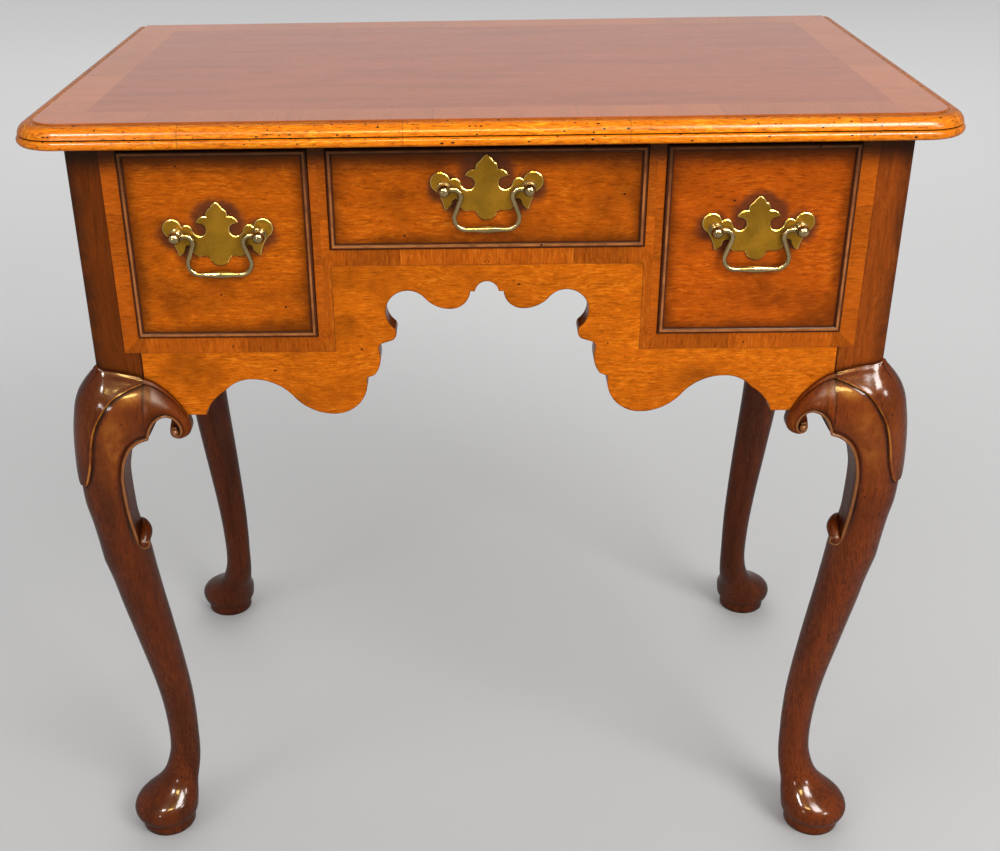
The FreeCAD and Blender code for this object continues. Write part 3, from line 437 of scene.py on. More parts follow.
def wood(name, colour, axis="X", dark=0.32, streak=0.3, band=0.3, cloud=0.35, fleck=0.6, pores=0.5,
         grime=0.85, reach=12, clear=0.85, rub_and_highlight=None, rub_and_highlight_amount=0, specks=0.02, roughness=0.32,
         relief=0.12, run=None, front=None, joint=0.5, shift=0, shade=None, ridge=False, vertex_marks=False,
         shadow_under_top=False, lengthwise=False, varnish_and_edge_shade=0, **shader):
    """A polished walnut finish with painted shade and highlights; thick varnish and painted shade make it
    darker where it is seen at a slant.
    """
    look = dict(SATIN, **shader)
    material, tree, shading = surface(name, **look)
    whole, grime_and_shade_colour = own_place(tree), rgba(settings("timber").grime)
    parts = split(whole)
    first, second, third = (parts[k] for k in GRAIN_ORDER[axis])
    vector, strips = joined(plus(first, shift), second, third), None
    if front:
        flat = grouped(tree, front_run, dict(front, Vector=whole))
        strips = grouped(tree, strip_run, {
            **run, "Vector": flat["Vector"], "Half Width": flat["Half Width"],
            "Half Depth": flat["Half Height"]})
    elif run:
        strips = grouped(tree, strip_run, dict(run, Vector=whole))
    if strips:
        vector = strips["Vector"]
    if lengthwise:
        across, along, up = split(vector)
        vector = joined(along, across, up)
    figure = grouped(tree, walnut_figure, {
        "Vector": vector, "Tone": rgba(colour), "Dark": rgba(colour, dark), "Light": rgba(lighter(colour)),
        "Streak": streak, "Band": band, "Cloud": cloud, "Fleck": fleck, "Pores": pores})
    shown = figure["Color"]
    if strips:
        shown = stretched(shown, ranged(strips["Shade"], 0, 1, 1 - joint * 0.3, 1 + joint * 0.3))
        shown = mixed(times(strips["Joint"], joint), shown, rgba(colour, 0.2))
    polish = {"Vector": vector, "Grime": grime_and_shade_colour, "Grime Amount": grime, "Reach": reach * MM, "Open": clear,
              "Rub": rgba(rub_and_highlight or [min(1, part * 1.6) for part in colour]), "Rub And Highlight Amount": rub_and_highlight_amount,
              "Specks": specks}
    # vertex marks: rub and painted highlights lighten the wood, painted shade and grime darken it
    if vertex_marks:
        carved = place(tree, "ShaderNodeAttribute", attribute_name="wear").outputs["Fac"]
        polish["Wear"] = times(carved, ranged(noise(whole, 55, 3, 0.6), 0.32, 0.62, 0.55, 1.2))
        polish["Rub"] = mixed(ranged(polish["Wear"], 0.2, 0.8), rgba(FAINT_RUB_AND_HIGHLIGHT), polish["Rub"])
    # painted shadow of the top's overhang, darkening the front just below it
    if shadow_under_top:
        shown = mixed(ranged(parts[2], *TOP_SHADOW_LEVELS, 0, 0.92), shown, grime_and_shade_colour)
    if shade:
        masks = grouped(tree, edge_shade, dict(shade, Vector=whole))
        # a cockbead's ridge: rubbed, with a painted highlight that is patchy and fainter towards the top
        if ridge:
            patchy = ranged(noise(whole, 60, 3, 0.6), 0.3, 0.62, 0.45, 1)
            dimmer_upward = ranged(parts[2], shade["Centre Z"], TOP_SHADOW_LEVELS[1], 1, 0.3)
            polish["Wear"] = times(masks["Ridge"], times(patchy, dimmer_upward))
        else:
            shown = mixed(times(masks["Rim"], 0.72), shown, rgba(colour, 0.16))
            shown = mixed(times(masks["Halo"], 0.8), shown, HALO_COLOUR)
    age = grouped(tree, polish_and_painted_light, dict(polish, Color=shown))
    rough = ranged(figure["Fleck"], 0.3, 0.7, roughness * 0.85, roughness * 1.15)
    sockets = {"Base Color": age["Color"], "Roughness": plus(rough, times(age["Grime"], 0.25))}
    # painted shade as well as deep varnish: the colour darkens at a slant, and the coat thins there
    if varnish_and_edge_shade:
        slant = place(tree, "ShaderNodeLayerWeight", {"Blend": 0.5}).outputs["Facing"]
        coat = look["Coat_Weight"]
        sockets["Base Color"] = stretched(age["Color"], ranged(slant, 0.25, 0.85, 1, 1 - varnish_and_edge_shade))
        sockets["Coat Weight"] = ranged(slant, 0.35, 0.8, coat, coat * 0.2)
    finished(tree, shading, sockets, minus(figure["Height"], age["Speck"]), relief, 0.0004)
    return material


def lining_wood(name, colour, axis):
    """Bare old wood inside the case."""
    return wood(name, colour, axis, dark=0.45, streak=0.7, band=0.5, fleck=0.4, pores=0.7,
                roughness=0.62, Coat_Weight=0, Specular_IOR_Level=0.3, specks=0.01, relief=0.3)


def brass_finish(name, colour, roughness, metal=1):
    """Old brass."""
    material, tree, shading = surface(name, Metallic=metal, Specular_IOR_Level=0.5)
    old = grouped(tree, patina, {"Vector": own_place(tree), "Color": rgba(colour), "Roughness": roughness})
    finished(tree, shading, {"Base Color": old["Color"], "Roughness": old["Roughness"]}, old["Height"],
             0.1, 0.0002)
    return material


def wear(obj, material):
    """Gives an object one finish on every face."""
    if not obj.material_slots:
        obj.data.materials.append(material)
    for slot in obj.material_slots:
        slot.material = material


def wear_nodes(material, *names):
    """Gives nodes of the frame one finish."""
    for name in names:
        wear(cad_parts[name], material)


# ---------------------------------------------------------------- mesh helpers

def arc(via, end):
    """A step of an outline that goes round through one point to another."""
    return ("arc", via, end)


def circle_through(first, second, third):
    """The centre of the circle through three points."""
    (ax, ay), (bx, by), (cx, cy) = first, second, third
    twice = 2 * (ax * (by - cy) + bx * (cy - ay) + cx * (ay - by))
    squares = ax * ax + ay * ay, bx * bx + by * by, cx * cx + cy * cy
    return ((squares[0] * (by - cy) + squares[1] * (cy - ay) + squares[2] * (ay - by)) / twice,
            (squares[0] * (cx - bx) + squares[1] * (ax - cx) + squares[2] * (bx - ax)) / twice)


ARC_STEP = 0.8


def traced(outline, step=ARC_STEP):
    """The points of an outline, its arcs divided about every step."""
    points = [outline[0]]
    for part in outline[1:]:
        if part[0] != "arc":
            points.append(part)
            continue
        start, via, end = points[-1], part[1], part[2]
        cx, cy = circle_through(start, via, end)
        radius = math.dist(start, (cx, cy))
        turn = [math.atan2(y - cy, x - cx) for x, y in (start, via, end)]
        sweep, middle = (turn[2] - turn[0]) % math.tau, (turn[1] - turn[0]) % math.tau
        if middle > sweep:
            sweep -= math.tau
        count = max(2, round(abs(sweep) * radius / step))
        points += [(cx + radius * math.cos(turn[0] + sweep * i / count),
                    cy + radius * math.sin(turn[0] + sweep * i / count)) for i in range(1, count + 1)]
    return points


def mirrored(points):
    """A closed outline from its right half, which starts and ends on the middle line."""
    return points + [(-x, y) for x, y in reversed(points) if abs(x) > 1e-6]


def hermite(first, last, lead, trail, s):
    """A place on the curve between two others, from its slope at each of them."""
    return (first * (2 * s**3 - 3 * s**2 + 1) + lead * (s**3 - 2 * s**2 + s)
            + last * (3 * s**2 - 2 * s**3) + trail * (s**3 - s**2))


def flowing(points, step=1.0):
    """A smooth line through points of any dimension, divided about every step."""
    stops = [Vector(point) for point in points]
    line = [stops[0]]
    for i in range(len(stops) - 1):
        first, last = stops[i], stops[i + 1]
        span = (last - first).length
        lead = (last - stops[i - 1]) * 0.5 if i else last - first
        trail = (stops[i + 2] - first) * 0.5 if i + 2 < len(stops) else last - first
        lead, trail = (slope * min(1, span / max(slope.length, 1e-9)) for slope in (lead, trail))
        count = max(1, round(span / step))
        line += [hermite(first, last, lead, trail, k / count) for k in range(1, count + 1)]
    return line


def shared_out(line, count):
    """Count points, evenly spaced along a line."""
    lengths = [0]
    for first, second in zip(line, line[1:]):
        lengths.append(lengths[-1] + (second - first).length)
    result, k = [], 0
    for i in range(count):
        target = lengths[-1] * i / (count - 1)
        while k < len(line) - 2 and lengths[k + 1] < target:
            k += 1
        span = lengths[k + 1] - lengths[k]
        share = 0 if span < 1e-12 else min(1, (target - lengths[k]) / span)
        result.append(line[k].lerp(line[k + 1], share))
    return result


def between(table, level):
    """A value from a table of (level, value), eased through its rows."""
    if level <= table[0][0]:
        return table[0][1]
    if level >= table[-1][0]:
        return table[-1][1]
    k = next(i for i in range(len(table) - 1) if table[i + 1][0] >= level)
    (z0, v0), (z1, v1) = table[k], table[k + 1]
    slope = (v1 - v0) / (z1 - z0)
    before = (v1 - table[k - 1][1]) / (z1 - table[k - 1][0]) if k else slope
    after = (table[k + 2][1] - v0) / (table[k + 2][0] - z0) if k + 2 < len(table) else slope
    span = z1 - z0
    return hermite(v0, v1, before * span, after * span, (level - z0) / span)


def eased(value, low=0, high=1):
    """0 below low, 1 above high, and smooth between."""
    share = min(1, max(0, (value - low) / (high - low)))
    return share * share * (3 - 2 * share)


def bell(value, middle, width):
    """1 at the middle, and less and less away from it."""
    return math.exp(-((value - middle) / width) ** 2)


def grid_faces(mesh, rows, closed=False):
    """Faces between rows of points of equal length; returns the rows of vertices."""
    made = [[mesh.verts.new(point) for point in row] for row in rows]
    for lower, upper in zip(made, made[1:]):
        count = len(lower)
        for j in range(count if closed else count - 1):
            after = (j + 1) % count
            mesh.faces.new((lower[j], lower[after], upper[after], upper[j]))
    return made


def capped(mesh, made):
    """Closes the first and the last row with triangles to the middle of each."""
    for ring in (made[0], made[-1]):
        hub = mesh.verts.new(sum((vertex.co for vertex in ring), Vector()) / len(ring))
        for first, second in zip(ring, ring[1:] + ring[:1]):
            mesh.faces.new((first, second, hub))


def circle_at(centre, side, up, radius, sides):
    """The points of a circle."""
    return [centre + (side * math.cos(turn) + up * math.sin(turn)) * radius
            for turn in (math.tau * k / sides for k in range(sides))]


ROUND_END = (0.97, 0.75, 0.4)     # shares of the radius at which a rod's rounded end has its rings


def swept(mesh, line, radii, sides):
    """A round rod along a line of points, with rounded ends."""
    rows = []
    side = (line[1] - line[0]).normalized().orthogonal().normalized()
    last = len(line) - 1
    for i, point in enumerate(line):
        tangent = (line[min(i + 1, last)] - line[max(i - 1, 0)]).normalized()
        side = (side - tangent * side.dot(tangent)).normalized()
        ends = [-s for s in ROUND_END] if i == 0 else []
        ends += [0]
        ends += reversed(ROUND_END) if i == last else []
        rows += [circle_at(point + tangent * radii[i] * s, side, tangent.cross(side),
                           radii[i] * math.sqrt(1 - s * s), sides) for s in ends]
    capped(mesh, grid_faces(mesh, rows, closed=True))


def turned(mesh, profile, origin, axis, sides):
    """A turned shape: profile is (distance along the axis, radius)."""
    side = axis.orthogonal().normalized()
    capped(mesh, grid_faces(mesh, [circle_at(origin + axis * along, side, axis.cross(side), radius, sides)
                                   for along, radius in profile], closed=True))


def ball_profile(centre, radius, first=0, least=0.001):
    """A ball's profile, from one of its twelve steps on."""
    turns = [math.pi * k / 12 for k in range(first, 13)]
    return [(centre - radius * math.cos(turn), max(least, radius * math.sin(turn))) for turn in turns]


def boxed(mesh, low, high, bevel, steps):
    """A box between two corners, its upright edges rounded a little and its sides divided by steps."""
    xs, ys = (low[0], high[0]), (low[1], high[1])
    corners = []
    for cx, cy, start in ((1, 1, 0), (0, 1, 90), (0, 0, 180), (1, 0, 270)):
        sx, sy = (1 if cx else -1), (1 if cy else -1)
        corners.append([(xs[cx] - sx * bevel + bevel * math.cos(math.radians(start + turn)),
                         ys[cy] - sy * bevel + bevel * math.sin(math.radians(start + turn)))
                        for turn in (0, 30, 60, 90)])
    ring = []
    for corner, following in zip(corners, corners[1:] + corners[:1]):
        start, stop = Vector(corner[-1]), Vector(following[0])
        ring += corner + [tuple(start.lerp(stop, share)) for share in steps]
    capped(mesh, grid_faces(mesh, [[Vector((x, y, z)) for x, y in ring] for z in (low[2], high[2])],
                            closed=True))


WELD, SLIVER = 0.01, 0.002        # points this near are one, and edges this short go


def new_piece(name, mesh, body, materials, replaces=(), smooth=60):
    """Turns a bmesh, in millimetres, into a piece that rides on a body."""
    bmesh.ops.remove_doubles(mesh, verts=mesh.verts, dist=WELD)
    bmesh.ops.dissolve_degenerate(mesh, dist=SLIVER, edges=mesh.edges)
    bmesh.ops.recalc_face_normals(mesh, faces=mesh.faces)
    bmesh.ops.scale(mesh, vec=(MM, MM, MM), verts=mesh.verts)
    data = bpy.data.meshes.new(name)
    mesh.to_mesh(data)
    mesh.free()
    piece = bpy.data.objects.new(name, data)
    bpy.context.collection.objects.link(piece)
    for part in materials:
        data.materials.append(part)
    for polygon in data.polygons:
        polygon.use_smooth = True
    data.set_sharp_from_angle(angle=math.radians(smooth))
    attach(piece, body)
    if replaces:
        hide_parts(*replaces)
    return piece


# ---------------------------------------------------------------- the carved leg
# A leg is drawn in its corner's own frame: a runs sideways out of the post's middle,
# b runs out of it towards the front, and both halves of the leg mirror each other
# about the diagonal.

POST_X, POST_Y = 310, {"front": -177.7, "rear": 182.3}
POST_HALF = 20                    # half the post's thickness
POST_FOOT, POST_HEAD = 446, 696

# centre along the diagonal and radius of the round part: (level, centre, radius)
ROUND_LEG = [
    (0, 21, 25), (1.2, 21, 26), (8.6, 21, 26.2), (9.4, 21, 25.8), (9.9, 21, 26.9), (11.2, 21, 27.3),
    (12.2, 21, 27),
    (13.6, 21.4, 28.6), (16, 21.8, 30.4), (19, 22, 31.3), (23, 22, 31.7), (27, 21, 31.3), (31, 19, 30.2),
    (35, 15.8, 27.8), (39.5, 11, 24), (44, 6.4, 20.8), (49, 2.2, 18.6), (54, -0.8, 17.3), (61, -3.6, 16.3),
    (70, -6, 15.3), (80, -7.6, 14.6), (95, -8.2, 14.3), (110, -8.2, 14.6), (125, -7.6, 14.9),
    (140, -6.6, 15.4), (155, -4.9, 15.9), (170, -2.8, 16.4), (185, -0.4, 17), (200, 2.2, 17.6),
    (215, 4.8, 18.2), (230, 7.5, 18.7), (245, 10.2, 19.2), (260, 13, 19.7), (275, 15.6, 20.1),
    (290, 18, 20.5), (304, 20.6, 21.2), (317, 23, 22)]
KNEE_REACH = [(317, 36.6), (328, 37.6), (345, 39.6), (361, 41.4), (378, 43.6), (386, 44.2), (393, 44.5),
              (400, 44.6), (410, 44.7), (418, 44.7), (426, 44.6), (433, 44.4), (441, 44.1), (449, 43.7),
              (457, 43.1), (464, 42.3), (472, 41.3), (479, 39.7), (487, 36.6), (494, 32), (501, 26),
              (506, 20.4), (520, 19)]
KNEE_CORNER = [(317, 22), (345, 19.2), (380, 18.5), (410, 20), (441, 23), (462, 25), (479, 25), (487, 24),
               (494, 20), (498.5, 17), (501, 14), (504, 9), (506, 4)]
BEAD_LINE = [(-0.3, 336.7), (1.1, 342.4), (2.7, 350.4), (3.8, 361.1), (4.8, 378.6), (5.3, 392),
             (5.3, 404.3), (4.6, 411.3), (2, 423.5), (-3.4, 434.8), (-11.3, 441.7), (-20, 444.8)]
LEDGE_LINE = [(12.5, 502.3), (0, 500), (-12, 497), (-20, 494.4)]
LAPPET_LINE = [(33.2, 408), (29.2, 421), (25.7, 441.2), (21.3, 457.2), (14.1, 470.6), (5.6, 481),
               (-4.7, 486.5), (-13.2, 489.5), (-22, 491.5), (-25, 494.5), (-27, 498)]
LAPPET_TIP = 401
SHIN_TOP, PLAIN_TOP = 317, 399    # where the round leg ends, and where ribs begin to climb to the ledge
KNEE_FOOT = 368                   # where a carved knee is whole; a plain one is so at PLAIN_TOP
RIB_STEP, HIGH_RIBS = 2.2, 58
POST_STEPS = (0.06, 0.14, 0.24, 0.36, 0.5, 0.64, 0.76, 0.86, 0.94)
SEAM = -POST_HALF                 # the joint between the leg and its bracket
KNEE_HEAD = 506
LEDGE = sorted(LEDGE_LINE) + [(20, KNEE_HEAD)]
LEDGE_END = 12                    # further out the knee's top edge is level
LEDGE_RUN, LEDGE_LOW = 18.4, 495  # the part of the ledge that has a lip
CARVING_FOOT, CARVED_FROM = 336, (330, 356)    # where wear begins, and where the carving fades in
SLOPE_LEVELS, EASE_LEVELS = (425, 470), (340, 400)    # where the face takes the ledge's slope and its ease
BEAD_FALL = 15                    # how far from the bead the knee falls away
LEDGE_RISE = 7                    # over how much of its height the ledge stands out
PLAIN_FALL = 2.5                  # how far a plain knee falls away at its edge


def knee_corner(level):
    """Where the knee's face turns into its corner, and the corner's radius."""
    radius = between(KNEE_CORNER, level)
    return between(KNEE_REACH, level) - radius, radius


def ridge(level):
    """Unrolled distance from the middle of the post to the ridge of the knee."""
    flat, radius = knee_corner(level)
    return flat + radius * math.pi / 4


def ledge_level(across):
    """Height of the knee's top edge."""
    return between(LEDGE, min(across, LEDGE_END))


def line_gap(line, point):
    """Distance of a point from a line, positive on its left."""
    best, sign = 1e9, 1
    for first, second in zip(line, line[1:]):
        along = second - first
        share = min(1, max(0, (point - first).dot(along) / along.length_squared))
        away = point - (first + along * share)
        if away.length < best:
            best = away.length
            sign = 1 if along.x * away.y - along.y * away.x > 0 else -1
    return best * sign


class Knee:
    """The face of a knee as a height above the post's middle."""

    def __init__(self, carving, carved=True, ends_in_ear=True):
        self.carved = carved
        self.ends_in_ear = ends_in_ear
        self.fall = carving.fall / MM if carved else PLAIN_FALL
        self.rise = carving.lappet_rise / MM if carved else 0
        self.ledge = carving.ledge / MM
        self.bead = flowing(BEAD_LINE, 1.5)
        tip = ridge(LAPPET_TIP)
        near = [(tip, LAPPET_TIP), (tip - 4.8, LAPPET_TIP + 1.7)]
        over = [(2 * tip - a, z) for a, z in reversed(near[1:] + LAPPET_LINE[:1])]
        self.lappet = flowing(over + near + LAPPET_LINE, 1.5)

    def reach(self, across, level):
        """Height of the face before the carving."""
        shift = (KNEE_HEAD - ledge_level(across)) * eased(level, *SLOPE_LEVELS)
        stands = between(KNEE_REACH, level + shift) - POST_HALF
        inward = max(0, 10 - across) / 30
        kept = 1 - 0.09 * inward ** 2 if self.ends_in_ear else 1 - eased(inward, -0.05, 0.95) * 1.02
        return POST_HALF + stands * (1 + (kept - 1) * eased(level, *EASE_LEVELS))

    def inside(self, across, level):
        """How far a place lies inside the lappet, negative outside it."""
        return -line_gap(self.lappet, Vector((across, level)))

    def relief(self, across, level):
        """What the carving adds to the face."""
        gap = abs(line_gap(self.bead, Vector((across, level))))
        begun = eased(level, *CARVED_FROM)
        added = -self.fall * begun * (1 - eased(gap, 0, BEAD_FALL))
        if self.carved:
            added -= 0.9 * begun * eased(gap, 1.2, 2.2) * (1 - eased(gap, 2.4, 4.2))
            inner = self.inside(across, level)
            added += self.rise * eased(inner, -0.6, 0.6)
            added += 0.35 * eased(inner, 0.2, 1) * (1 - eased(inner, 1.2, 3))
            added -= 0.5 * eased(inner, -2.4, -1) * (1 - eased(inner, -0.9, -0.2))
        top = ledge_level(across)
        return added + self.ledge * eased(level, top - LEDGE_RISE, top)

    def wear(self, across, level):
        """Above 0 where rub and painted highlights lighten the carving, below 0 where painted shade, grime
        and the seam darken it.
        """
        if not self.carved or level < CARVING_FOOT:
            return 0
        gap = abs(line_gap(self.bead, Vector((across, level))))
        inner = self.inside(across, level)
        # the lappet's lip: rubbed, with a painted highlight
        tone_marks = 0.8 * bell(inner, 0.45, 0.55)
        # the groove outside the lappet: painted shade and grime
        groove_grime_and_shade = bell(inner, -1.1, 0.9)
        # the fall beside the bead: painted shade
        beside = 0.8 * bell(gap, 2.8, 1.6) * eased(level, CARVING_FOOT, 350)
        # the knee's belly is rubbed lighter
        belly_rub_and_glint = 0.4 * bell(across, 8, 18) * bell(level, 442, 46) * eased(-inner, 0, 5)
        belly_rub_and_glint += 0.16 * eased(inner, 1, 6) * bell(level, 450, 30)
        # a painted golden glint on the knee
        belly_rub_and_glint += 0.55 * bell(across, -9, 9) * bell(level, 482, 6) * eased(-inner, 0.5, 2.5)
        seam = 0.7 * bell(across, SEAM, 0.7)
        # the ledge's top edge: a painted highlight
        lip = 0.22 * bell(level, ledge_level(across) - 0.8, 0.9) * (1 - eased(across, 4, LEDGE_END))
        return max(tone_marks, belly_rub_and_glint, lip) - max(groove_grime_and_shade, beside, seam)

    def point(self, across, level, lift=0):
        """A place on the face: across is measured along the surface."""
        flat, radius = knee_corner(level)
        rise = self.relief(across, level) + lift
        if across <= flat:
            return Vector((across, self.reach(across, level) + rise, level))
        turn = (across - flat) / radius
        base = self.reach(flat, level) - radius
        return Vector((flat + (radius + rise) * math.sin(turn),
                       base + (radius + rise) * math.cos(turn), level))


LAPPET_STEPS = (-3, -1.6, -0.8, -0.25, 0.25, 0.8, 1.6, 3)
BEAD_STEPS = (14, 10, 7.2, 5.4, 4.2, 3.4, 2.6, 1.8, 1, 0)
FACE_PARTS, TONGUE_PARTS, WALL_PARTS, WALL_TURN = 9, 8, 12, 5
LEAST_EDGE, FULL_EDGE = 0.4, 3.2  # distances from the ridge to the lappet's edge: the least and a full one
TRIES, HALVINGS = 60, 12          # with which the lappet's edge is looked for
LIP_RISE, LIP_LIFTS = 0.6, (-2.6, -0.5)        # how the ledge's lip rises and falls back to the post
BEAD_SEAT = 0.9                   # how far the bead stands over the inner wall
INNER_CORNER = [(317, 18), (345, 15), (370, 11), (400, 8), (440, 6)]


def rib_places(length, edge):
    """Distances along a rib from the ridge or ledge to the bead."""
    tight = min(1, edge / FULL_EDGE)
    steps = [edge + step * tight for step in LAPPET_STEPS]
    places = [steps[0] * k / TONGUE_PARTS for k in range(TONGUE_PARTS)] + steps
    near = [length - step * min(1, (length - steps[-1]) / 20) for step in BEAD_STEPS]
    places += [steps[-1] + (near[0] - steps[-1]) * k / FACE_PARTS for k in range(1, FACE_PARTS)]
    return places + near


def lappet_crossing(knee, start, end):
    """Distance along a rib at which it leaves the lappet."""
    def outside(share):
        return knee.inside(*start.lerp(end, share)) < 0
    for k in range(1, TRIES + 1):
        if outside(k / TRIES):
            low, high = (k - 1) / TRIES, k / TRIES
            for _ in range(HALVINGS):
                middle = (low + high) / 2
                low, high = (low, middle) if outside(middle) else (middle, high)
            return max(LEAST_EDGE, low * (end - start).length)
    return LEAST_EDGE


def knee_rib(knee, start, end, edge):
    """Half a rib, from the ridge or ledge over the face to the bead and back to the diagonal."""
    length = (end - start).length
    rib = [knee.point(*start.lerp(end, away / length)) for away in rib_places(length, edge)]
    wall = end.x - BEAD_SEAT
    radius = between(INNER_CORNER, end.y)
    straight = WALL_PARTS - WALL_TURN
    for k in range(straight, 0, -1):
        rib.append(Vector((wall, rib[-1].y + (wall + radius - rib[-1].y) / k, end.y)))
    for k in range(1, WALL_TURN + 1):
        turn = math.pi / 4 * k / WALL_TURN
        rib.append(Vector((wall + radius * (1 - math.cos(turn)),
                           wall + radius * (1 - math.sin(turn)), end.y)))
    return rib


FRONT_COUNT = len(rib_places(50, 10))          # points of a rib from the ridge to the bead
# angles of a round section at the ridge, the bead and the diagonal behind
RIDGE_TURN, BEAD_TURN, BACK_TURN = 45, 140, 225


def round_rib(level, centre, radius):
    """Half of a round section, its points spread as a knee's rib has them."""
    middle = centre / math.sqrt(2)
    turns = [RIDGE_TURN + (BEAD_TURN - RIDGE_TURN) * j / (FRONT_COUNT - 1) for j in range(FRONT_COUNT)]
    turns += [BEAD_TURN + (BACK_TURN - BEAD_TURN) * (j + 1) / WALL_PARTS for j in range(WALL_PARTS)]
    return [Vector((middle + radius * math.cos(angle), middle + radius * math.sin(angle), level))
            for angle in map(math.radians, turns)]


def shin_ribs():
    """Half ribs of the round part of a leg, from the floor up."""
    levels = [row[0] for row in ROUND_LEG]
    centres = [(z, centre) for z, centre, radius in ROUND_LEG]
    radii = [(z, radius) for z, centre, radius in ROUND_LEG]
    return [round_rib(level, between(centres, level), between(radii, level))
            for level in sorted({*levels, *(z + 7.5 for z in levels if 60 < z < 300)})]


def low_knee_ribs(knee):
    """Half ribs from the round part of a leg to the foot of the lappet, each on its own level."""
    whole = KNEE_FOOT if knee.carved else PLAIN_TOP
    low = [(z, a) for a, z in BEAD_LINE]
    ribs, level = [], SHIN_TOP + 2.5
    while level < PLAIN_TOP:
        start, end = Vector((ridge(level), level)), Vector((between(low, level), level))
        share = eased(level, 342, LAPPET_TIP - 2)
        rib = knee_rib(knee, start, end, (end - start).length * 0.3 * (1 - share) + 0.5 * share)
        blend = eased(level, SHIN_TOP, whole)
        if blend < 1:
            above = level - SHIN_TOP
            plain = round_rib(level, 23 + above * 0.115, 22 + above * 0.03)
            rib = [first.lerp(last, blend) for first, last in zip(plain, rib)]
        ribs.append(rib)
        level += RIB_STEP
    return ribs


def high_knee_ribs(knee):
    """Half ribs that fan out from the bead to the ridge and the ledge, with the lip of the ledge."""
    foot = PLAIN_TOP + 1
    bead = [point for point in flowing(BEAD_LINE, 0.5) if point.y >= foot]
    climb = [Vector((ridge(level), level)) for level in range(foot, KNEE_HEAD + 1)]
    head = climb[-1]
    along = flowing([head[:]] + LEDGE_LINE, 0.5)
    for start, end in zip(shared_out(climb + along[1:], HIGH_RIBS), shared_out(bead, HIGH_RIBS)):
        edge = lappet_crossing(knee, start, end) if knee.carved else FULL_EDGE
        rib = knee_rib(knee, start, end, edge)
        lip = [rib[0], rib[0]]
        if (start - head).length < LIP_RISE or start.x < LEDGE_RUN and LEDGE_LOW < start.y < KNEE_HEAD:
            lip = [knee.point(*start, lift) + Vector((0, 0, LIP_RISE)) for lift in LIP_LIFTS]
        yield lip + rib


def leg_ribs(knee):
    """Half ribs from the floor to the seam, each with two points of the ledge's lip before it."""
    plain = [[rib[0], rib[0]] + rib for rib in shin_ribs() + low_knee_ribs(knee)]
    return plain + list(high_knee_ribs(knee))


def corner_map(side, end):
    """Carries a place from a corner's own frame to the lowboy's."""
    across = 1 if side == "right" else -1
    out = -1 if end == "front" else 1
    def carry(point, swap=False):
        a, b = (point.y, point.x) if swap else (point.x, point.y)
        return Vector((across * (POST_X + a), POST_Y[end] + out * b, point.z))
    return carry


def carved_mesh():
    """An empty mesh whose vertices keep their wear and painted light."""
    mesh = bmesh.new()
    return mesh, mesh.verts.layers.float.new("wear")


MARKED_FACE = 22                    # wear and painted light are kept on the faces further out than this
FLOOR_HUB, POST_HUB = Vector((15, 15, 0)), Vector((0, 0, 470))      # where a leg's two rims are closed
POST_BEVEL, POST_SHADE = 2.4, 15  # the easing of the post's edges, and how far from its outer corner its sides carry painted shade
VENEER = 1                        # by which the front's veneer stands over the posts


def mark_wear_and_light(layer, rows, knee, ribs):
    """Keeps the wear, painted highlights and painted shade of the carving at each vertex of a half leg."""
    for vertices, points in zip(rows, ribs):
        for vertex, point in zip(vertices, points):
            if point.z > CARVED_FROM[0] and point.y > MARKED_FACE:
                flat, radius = knee_corner(point.z)
                across = point.x
                if point.x > flat:
                    base = knee.reach(flat, point.z) - radius
                    across = flat + radius * math.atan2(point.x - flat, point.y - base)
                vertex[layer] = knee.wear(across, point.z)


def closed_to(mesh, edges, centre):
    """Closes a rim with triangles to one point."""
    hub = mesh.verts.new(centre)
    for edge in edges:
        mesh.faces.new((*edge.verts, hub))


def leg_piece(side, end, knees, materials):
    """A leg with its post, foot and knee; knees are those of its front and of its side."""
    carry = corner_map(side, end)
    mesh, layer = carved_mesh()
    for swap, knee in zip((False, True), knees):
        ribs = leg_ribs(knee)
        mark_wear_and_light(layer, grid_faces(mesh, [[carry(point, swap) for point in rib] for rib in ribs]),
                  knee, ribs)
    bmesh.ops.remove_doubles(mesh, verts=mesh.verts, dist=WELD)
    rims = [edge for edge in mesh.edges if edge.is_boundary]
    floor = [edge for edge in rims if max(vertex.co.z for vertex in edge.verts) < 1]
    top = [edge for edge in rims if min(vertex.co.z for vertex in edge.verts) > 1]
    closed_to(mesh, floor, carry(FLOOR_HUB))
    closed_to(mesh, top, carry(POST_HUB))
    carved = set(mesh.faces)
    outer = carry(Vector((POST_HALF, POST_HALF, POST_HEAD)))
    corners = list(zip(carry(Vector((-POST_HALF, -POST_HALF, POST_FOOT))), outer))
    low, high = [min(pair) for pair in corners], [max(pair) for pair in corners]
    if end == "front":
        low[1] += VENEER
    boxed(mesh, low, high, POST_BEVEL, POST_STEPS)
    for face in mesh.faces:
        face.material_index = 0 if face in carved else 1
    # painted shade on the post's sides near its outer corner, held at its top and foot vertices
    for vertex in mesh.verts:
        if vertex.co.z in (low[2], high[2]):
            away = max(abs(vertex.co.x - outer.x), abs(vertex.co.y - outer.y))
            vertex[layer] = -0.75 * (1 - eased(away, 0, POST_SHADE))
    node = f"leg_{end}_{side}"
    return new_piece(node + "_carved", mesh, "case", materials, [node], smooth=48)


# ---------------------------------------------------------------- the brackets

